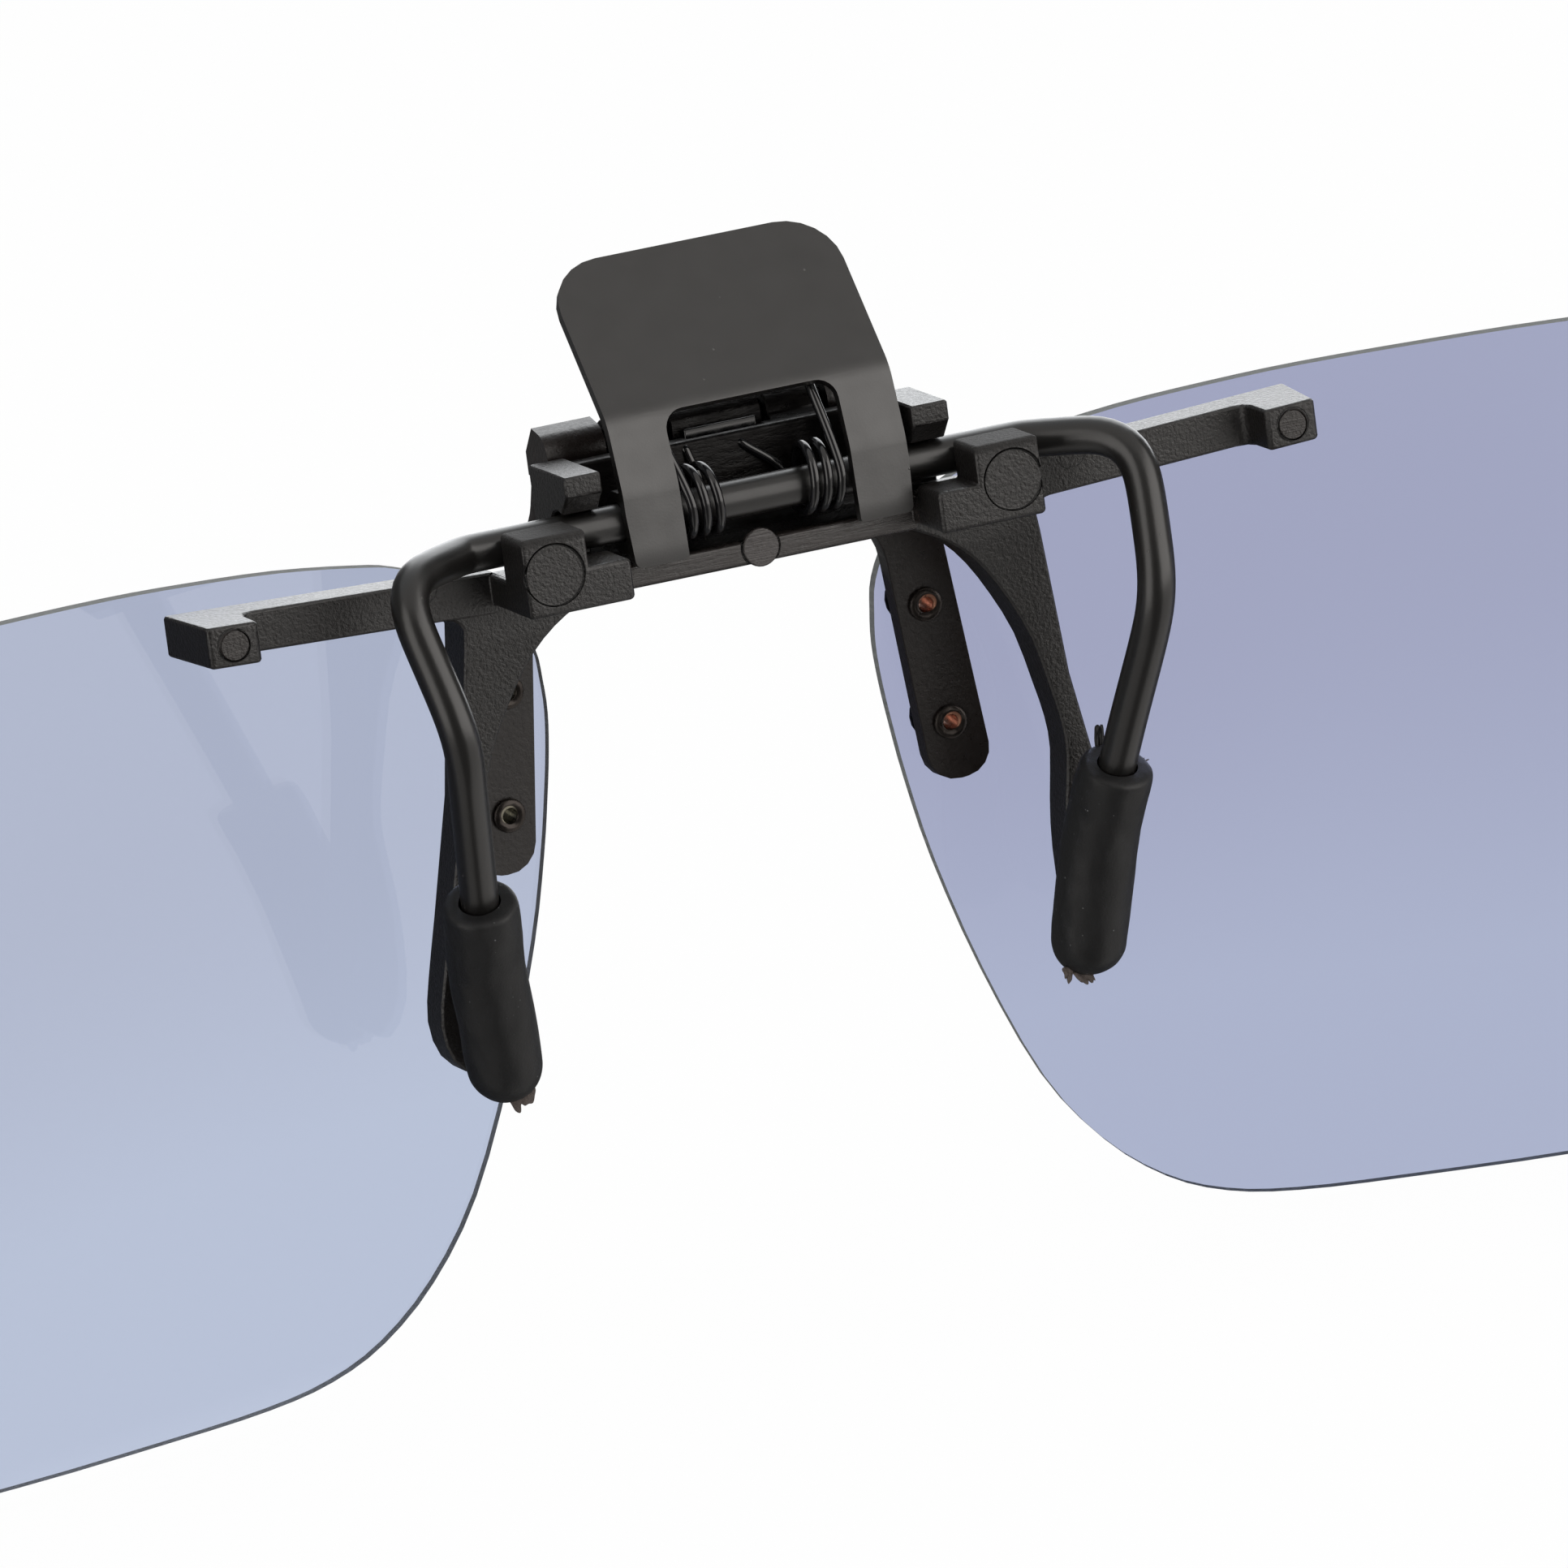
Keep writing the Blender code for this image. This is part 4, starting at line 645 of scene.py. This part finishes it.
def polished_lens(node):
    """The lens with exact normals on its two polished faces and its ground rim marked."""
    bm = welded(node)
    bmesh.ops.recalc_face_normals(bm, faces=bm.faces)
    sides = {1: set(), -1: set()}
    for face in bm.faces:
        rim = abs(face.normal.y) < RIM_SLOPE
        face.material_index = int(rim)
        if not rim:
            sides[1 if face.normal.y > 0 else -1].update(face.verts)
    for line in bm.edges:
        line.smooth = not line.is_manifold or line.calc_face_angle() < SHARP_ANGLE
    middles = {sign: sphere_through([vert.co[:] for vert in verts]) for sign, verts in sides.items()}
    made = add_object(f"{node}_finished", bm)
    mesh = made.data
    normals = [Vector()] * len(mesh.loops)
    for face in mesh.polygons:
        if not face.material_index:
            sign = 1 if face.normal.y > 0 else -1
            for loop in face.loop_indices:
                away = (mesh.vertices[mesh.loops[loop].vertex_index].co - middles[sign]).normalized()
                normals[loop] = away if away.dot(face.normal) > 0 else -away
    mesh.normals_split_custom_set(normals)
    return settle(made, node)


def ring_middles(node):
    """The middles of the rings of corners that a CAD wire is built from, from its left end on."""
    bm = welded(node)
    bmesh.ops.dissolve_limit(bm, angle_limit=FLAT_ANGLE, verts=bm.verts, edges=bm.edges)
    caps = sorted(bm.faces, key=lambda face: -len(face.verts))[:2]
    ring = list(min(caps, key=lambda face: face.calc_center_median().x).verts)
    seen = set(ring)
    middles = []
    while ring:
        middles.append(sum((vert.co for vert in ring), Vector()) / len(ring))
        after = []
        for vert in ring:
            for line in vert.link_edges:
                other = line.other_vert(vert)
                if other not in seen:
                    seen.add(other)
                    after.append(other)
        ring = after
    bm.free()
    return middles


def finer_wire(node):
    """The claw wire as a rounder tube with easier bends."""
    corners = ring_middles(node)
    path = [corners[0]]
    for start, end in zip(corners, corners[1:]):
        steps = max(1, round((end - start).length / WIRE_STEP))
        path += [start.lerp(end, step / steps) for step in range(1, steps + 1)]
    for _ in range(WIRE_SMOOTHING):
        eased = [
            (before + here * 2 + after) / 4 for before, here, after in zip(path, path[1:], path[2:])
        ]
        path = [path[0], *eased, path[-1]]
    return settle(tube(f"{node}_finished", path, WIRE_RADIUS, WIRE_SIDES), node)


def lumpy(made, size, height):
    """Makes a moulded rubber surface slightly uneven."""
    clouds = bpy.data.textures.new(f"{made.name}_lumps", "CLOUDS")
    clouds.noise_scale = size
    lumps = made.modifiers.new("lumps", "DISPLACE")
    lumps.texture = clouds
    lumps.strength = height
    return made


def sleeve_end(side, place):
    """A place beside the tip or the mouth of a sleeve."""
    end, *offset = place
    points = [vert.co for vert in nodes[f"{side}_sleeve"].data.vertices]
    level = min(point.z for point in points) if end == "tip" else max(point.z for point in points)
    ring = [point for point in points if abs(point.z - level) < SLEEVE_END_HEIGHT]
    middle = sum(ring, Vector()) / len(ring)
    return Vector((middle.x, middle.y, level)) + Vector(offset) * MM


def scrap(name, root, run, width, raggedness):
    """A torn bit of flash: a small thick sheet with a ragged far edge. The name picks the tear."""
    run, width = Vector(run) * MM, width * MM
    across = Vector((width, 0, 0)) if abs(run.z) > abs(run.x) else Vector((0, 0, width))
    bm = bmesh.new()
    grid = []
    for row in range(SCRAP_ROWS):
        out = row / (SCRAP_ROWS - 1)
        line = []
        for column in range(SCRAP_COLUMNS):
            share = column / (SCRAP_COLUMNS - 1) - 0.5
            tear = raggedness * noise.noise(Vector((column * TEAR_STEP, len(name), 0.4)))
            wave = noise.noise(Vector((column * CURL_STEPS[0], row * CURL_STEPS[1], len(name))))
            aside = across * share * (1 - SCRAP_NARROWING * out)
            curl = Vector((0, SCRAP_CURL * wave, 0))
            line.append(bm.verts.new(root + aside + run * out * (1 + tear * out) + curl))
        grid.append(line)
    for low, high in zip(grid, grid[1:]):
        for column in range(SCRAP_COLUMNS - 1):
            bm.faces.new((low[column], low[column + 1], high[column + 1], high[column]))
    made = add_object(name, bm)
    made.modifiers.new("thickness", "SOLIDIFY").thickness = SCRAP_THICKNESS
    made.modifiers["thickness"].offset = 0
    smooth = made.modifiers.new("smooth", "SUBSURF")
    smooth.levels = smooth.render_levels = SUBDIVISIONS
    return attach(made, "claw_lever")


def tube(name, path, radius, sides):
    """A round wire along a line of points, with rounded ends."""
    bm = bmesh.new()
    tangents = [
        (path[min(index + 1, len(path) - 1)] - path[max(index - 1, 0)]).normalized()
        for index in range(len(path))
    ]
    first, last = tangents[0], tangents[-1]
    stations = [(point, tangent, 1) for point, tangent in zip(path, tangents)]
    for beyond, share in reversed(END_RINGS):
        stations.insert(0, (path[0] - first * radius * beyond, first, share))
        stations.append((path[-1] + last * radius * beyond, last, share))
    across = first.orthogonal().normalized()
    rings = []
    for centre, tangent, share in stations:
        across = (across - tangent * across.dot(tangent)).normalized()
        up = tangent.cross(across)
        ring = []
        for side in range(sides):
            angle = 2 * math.pi * side / sides
            out = across * math.cos(angle) + up * math.sin(angle)
            ring.append(bm.verts.new(centre + out * radius * share))
        rings.append(ring)
    for ring, following in zip(rings, rings[1:]):
        for side in range(sides):
            after = (side + 1) % sides
            bm.faces.new((ring[side], ring[after], following[after], following[side]))
    bm.faces.new(rings[0])
    bm.faces.new(rings[-1])
    return add_object(name, bm)


def curve_between(start, start_run, end, end_run, steps):
    """Points of a smooth cubic curve, without its first point."""
    points = []
    for step in range(1, steps + 1):
        t = step / steps
        a, b = (1 + 2 * t) * (1 - t) ** 2, t * (1 - t) ** 2
        c, d = t**2 * (3 - 2 * t), t**2 * (t - 1)
        points.append(start * a + start_run * b + end * c + end_run * d)
    return points


def spring(side, sign, tab_run, wall_run):
    """One torsion spring: a leg up to the tab, a close coil round the shaft and a leg up the wall."""
    centre = SHAFT + Vector((COIL_MIDDLE_SHIFT, 0, COIL_RISE))

    def on_coil(turn, x):
        angle = 2 * math.pi * turn
        return centre + Vector((sign * x, COIL_RADIUS * math.cos(angle), COIL_RADIUS * math.sin(angle)))

    # The wire comes down the tab on the coil's back, so the first point of the coil is at half a turn.
    steps = round(COIL_TURNS * COIL_POINTS_PER_TURN)
    coil = []
    for step in range(steps + 1):
        turn = 0.5 + COIL_TURNS * step / steps
        coil.append(on_coil(turn, COIL_OUTER_END - COIL_PITCH * (turn - 0.5)))
    down = (coil[1] - coil[0]).normalized()
    top = coil[0] + tab_run
    leg = [top] + curve_between(top, -tab_run, coil[0], down * TAB_LEG_EASE, TAB_LEG_STEPS)
    along = (coil[-1] - coil[-2]).normalized()
    rest = coil[-1] + wall_run
    wall = curve_between(coil[-1], along * WALL_LEG_EASE, rest, wall_run, WALL_LEG_STEPS)
    made = tube(f"{side}_spring_coil", leg[:-1] + coil + wall, COIL_WIRE / 2, COIL_SIDES)
    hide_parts(f"{side}_torsion_spring")
    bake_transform(made)
    return made


def studio():
    """White round the camera's view, and softboxes that only glossy surfaces see."""
    bpy.context.scene.view_settings.view_transform = "Standard"
    world = bpy.data.worlds.new("studio")
    bpy.context.scene.world = world
    world.use_nodes = True
    world.cycles.sampling_method = "NONE"
    world.node_tree.nodes.clear()
    sky = Nodes(world.node_tree)
    parts = sky.add(
        "ShaderNodeSeparateXYZ", {"Vector": sky.add("ShaderNodeTexCoord").outputs["Generated"]}
    ).outputs
    heading = sky.maths("ARCTAN2", parts["X"], sky.maths("MULTIPLY", parts["Y"], -1))
    elevation = sky.maths("ARCSINE", parts["Z"])
    light = ROOM_STRENGTH
    for box in SOFTBOXES:
        soft = math.radians(box["soft"])
        across = sky.band(heading, *map(math.radians, box["heading"]), soft)
        upright = sky.band(elevation, *map(math.radians, box["elevation"]), soft)
        lit = sky.maths("MULTIPLY", sky.maths("MULTIPLY", across, upright), box["strength"])
        light = sky.maths("MAXIMUM", light, lit)
    path = sky.add("ShaderNodeLightPath").outputs
    mirrored = sky.maths("MINIMUM", path["Glossy Depth"], 1)
    through = sky.maths("MULTIPLY", path["Is Transmission Ray"], sky.maths("SUBTRACT", 1, mirrored))
    seen = sky.maths("MAXIMUM", path["Is Camera Ray"], through)
    turned = sky.maths("ABSOLUTE", heading)
    behind = sky.span(turned, [math.radians(angle) for angle in BACK_SIDE], (0, 1), "SMOOTHSTEP")
    tint = sky.colour(behind, FRONT_TINT, BACK_TINT)
    white = sky.add("ShaderNodeBackground", {"Color": WHITE, "Strength": 1})
    boxes = sky.add("ShaderNodeBackground", {"Color": tint, "Strength": light})
    fill = sky.add("ShaderNodeBackground", {"Color": WHITE, "Strength": FILL_STRENGTH})
    lit = sky.add("ShaderNodeMixShader", {0: mirrored, 1: fill.outputs[0], 2: boxes.outputs[0]})
    shown = sky.add("ShaderNodeMixShader", {0: seen, 1: lit.outputs[0], 2: white.outputs[0]})
    sky.add("ShaderNodeOutputWorld", {"Surface": shown.outputs[0]})


def key_lamp():
    """One broad soft lamp above the camera's left."""
    data = bpy.data.lights.new("key_lamp", "AREA")
    data.shape = "SQUARE"
    data.size = KEY_LAMP_SIZE
    data.energy = KEY_LAMP_POWER
    lamp = bpy.data.objects.new("key_lamp", data)
    lamp.location = KEY_LAMP_PLACE
    lamp.rotation_euler = (-KEY_LAMP_PLACE).to_track_quat("-Z", "Y").to_euler()
    lamp.visible_camera = False
    lamp.visible_glossy = False
    bpy.context.scene.collection.objects.link(lamp)


def floor(level):
    """A pale floor that keeps a faint shadow and runs into the white behind."""
    bm = bmesh.new()
    bmesh.ops.create_grid(bm, x_segments=1, y_segments=1, size=FLOOR_SIZE / 2)
    made = add_object("floor", bm)
    made.location.z = level
    made.visible_glossy = False
    made.visible_transmission = False
    finish = Finish("pale_floor", Roughness=0.9, Base_Color=(0.9, 0.9, 0.9, 1))
    seen = finish.add("ShaderNodeLightPath").outputs["Is Camera Ray"]
    glow = finish.add("ShaderNodeEmission", {"Color": WHITE, "Strength": 1})
    glowing = finish.maths("MULTIPLY", seen, FLOOR_GLOW)
    finish.blend_shaders(glowing, finish.shader.outputs["BSDF"], glow.outputs["Emission"])
    made.data.materials.append(finish.material)


def camera():
    """The photograph's camera."""
    right = PICTURE_X.normalized()
    up = PICTURE_Y.normalized()
    back = right.cross(up).normalized()
    up = back.cross(right).normalized()
    data = bpy.data.cameras.new("camera")
    data.sensor_width = SENSOR_WIDTH
    data.lens = PIXELS_PER_FOCAL_LENGTH / PICTURE_SIZE * SENSOR_WIDTH
    data.clip_end = CAMERA_REACH
    made = bpy.data.objects.new("camera", data)
    target = right * PICTURE_MIDDLE[0] + up * PICTURE_MIDDLE[1]
    made.matrix_world = Matrix.Translation(target + back * CAMERA_DISTANCE) @ Matrix(
        (right, up, back)
    ).transposed().to_4x4()
    bpy.context.scene.collection.objects.link(made)
    bpy.context.scene.camera = made


camera()
studio()
key_lamp()
floor(cad_box[0].z - FLOOR_GAP)

for node in nodes:
    if node == "claw_wire":
        finer_wire(node)
    elif node.endswith("_sleeve"):
        lumpy(subdivided_copy(node), SLEEVE_LUMP_SIZE, SLEEVE_LUMP_HEIGHT)
    elif node.endswith("_lens"):
        polished_lens(node)
    elif not node.endswith("_spring"):
        rounded_copy(node, EDGE_WIDTHS.get(node, SMALL_EDGE_WIDTH))

moulded_black().wear("clip_body_finished")
washers = [f"{node}_finished" for node in nodes if node.endswith("_washer")]
smooth_black().wear("lens_bridge_finished", *washers)
# The faces behind the thumb tab get painted shade
painted_shade_black().wear("clip_body_finished", "lens_bridge_finished")
satin_paint("painted_tab", 0.9, 0.62, TAB_MARKS).wear("thumb_tab_finished")
satin_paint("painted_wire", 0.64, 0.3, WIRE_MARKS, WIRE_NICK).wear("claw_wire_finished")
spring_finish = blackened_wire()
spring_finish.wear("flip_hinge_pin_finished", "detent_leaf_finished")
for side, sign, tab_run, wall_run in zip(("left", "right"), (-1, 1), TAB_LEG_RUNS, WALL_LEG_RUNS):
    spring(side, sign, tab_run, wall_run)
    spring_finish.wear(f"{side}_spring_coil")
rubber_finish = matte_rubber()
rubber_finish.wear("left_sleeve_finished", "right_sleeve_finished")
tinted_lens().wear("left_lens_finished", "right_lens_finished")
ground_edge().wear("left_lens_finished", "right_lens_finished")
torn_finish = torn_rubber()
for name, side, place, run, width, raggedness in FLASH_SCRAPS:
    scrap(name, sleeve_end(side, place), run, width, raggedness)
    (rubber_finish if name.endswith("_nub") else torn_finish).wear(name)
for side, colour in BARE_METALS.items():
    for level in ("upper", "lower"):
        eyelet(f"{side}_{level}_rivet", colour).wear(f"{side}_{level}_rivet_finished")
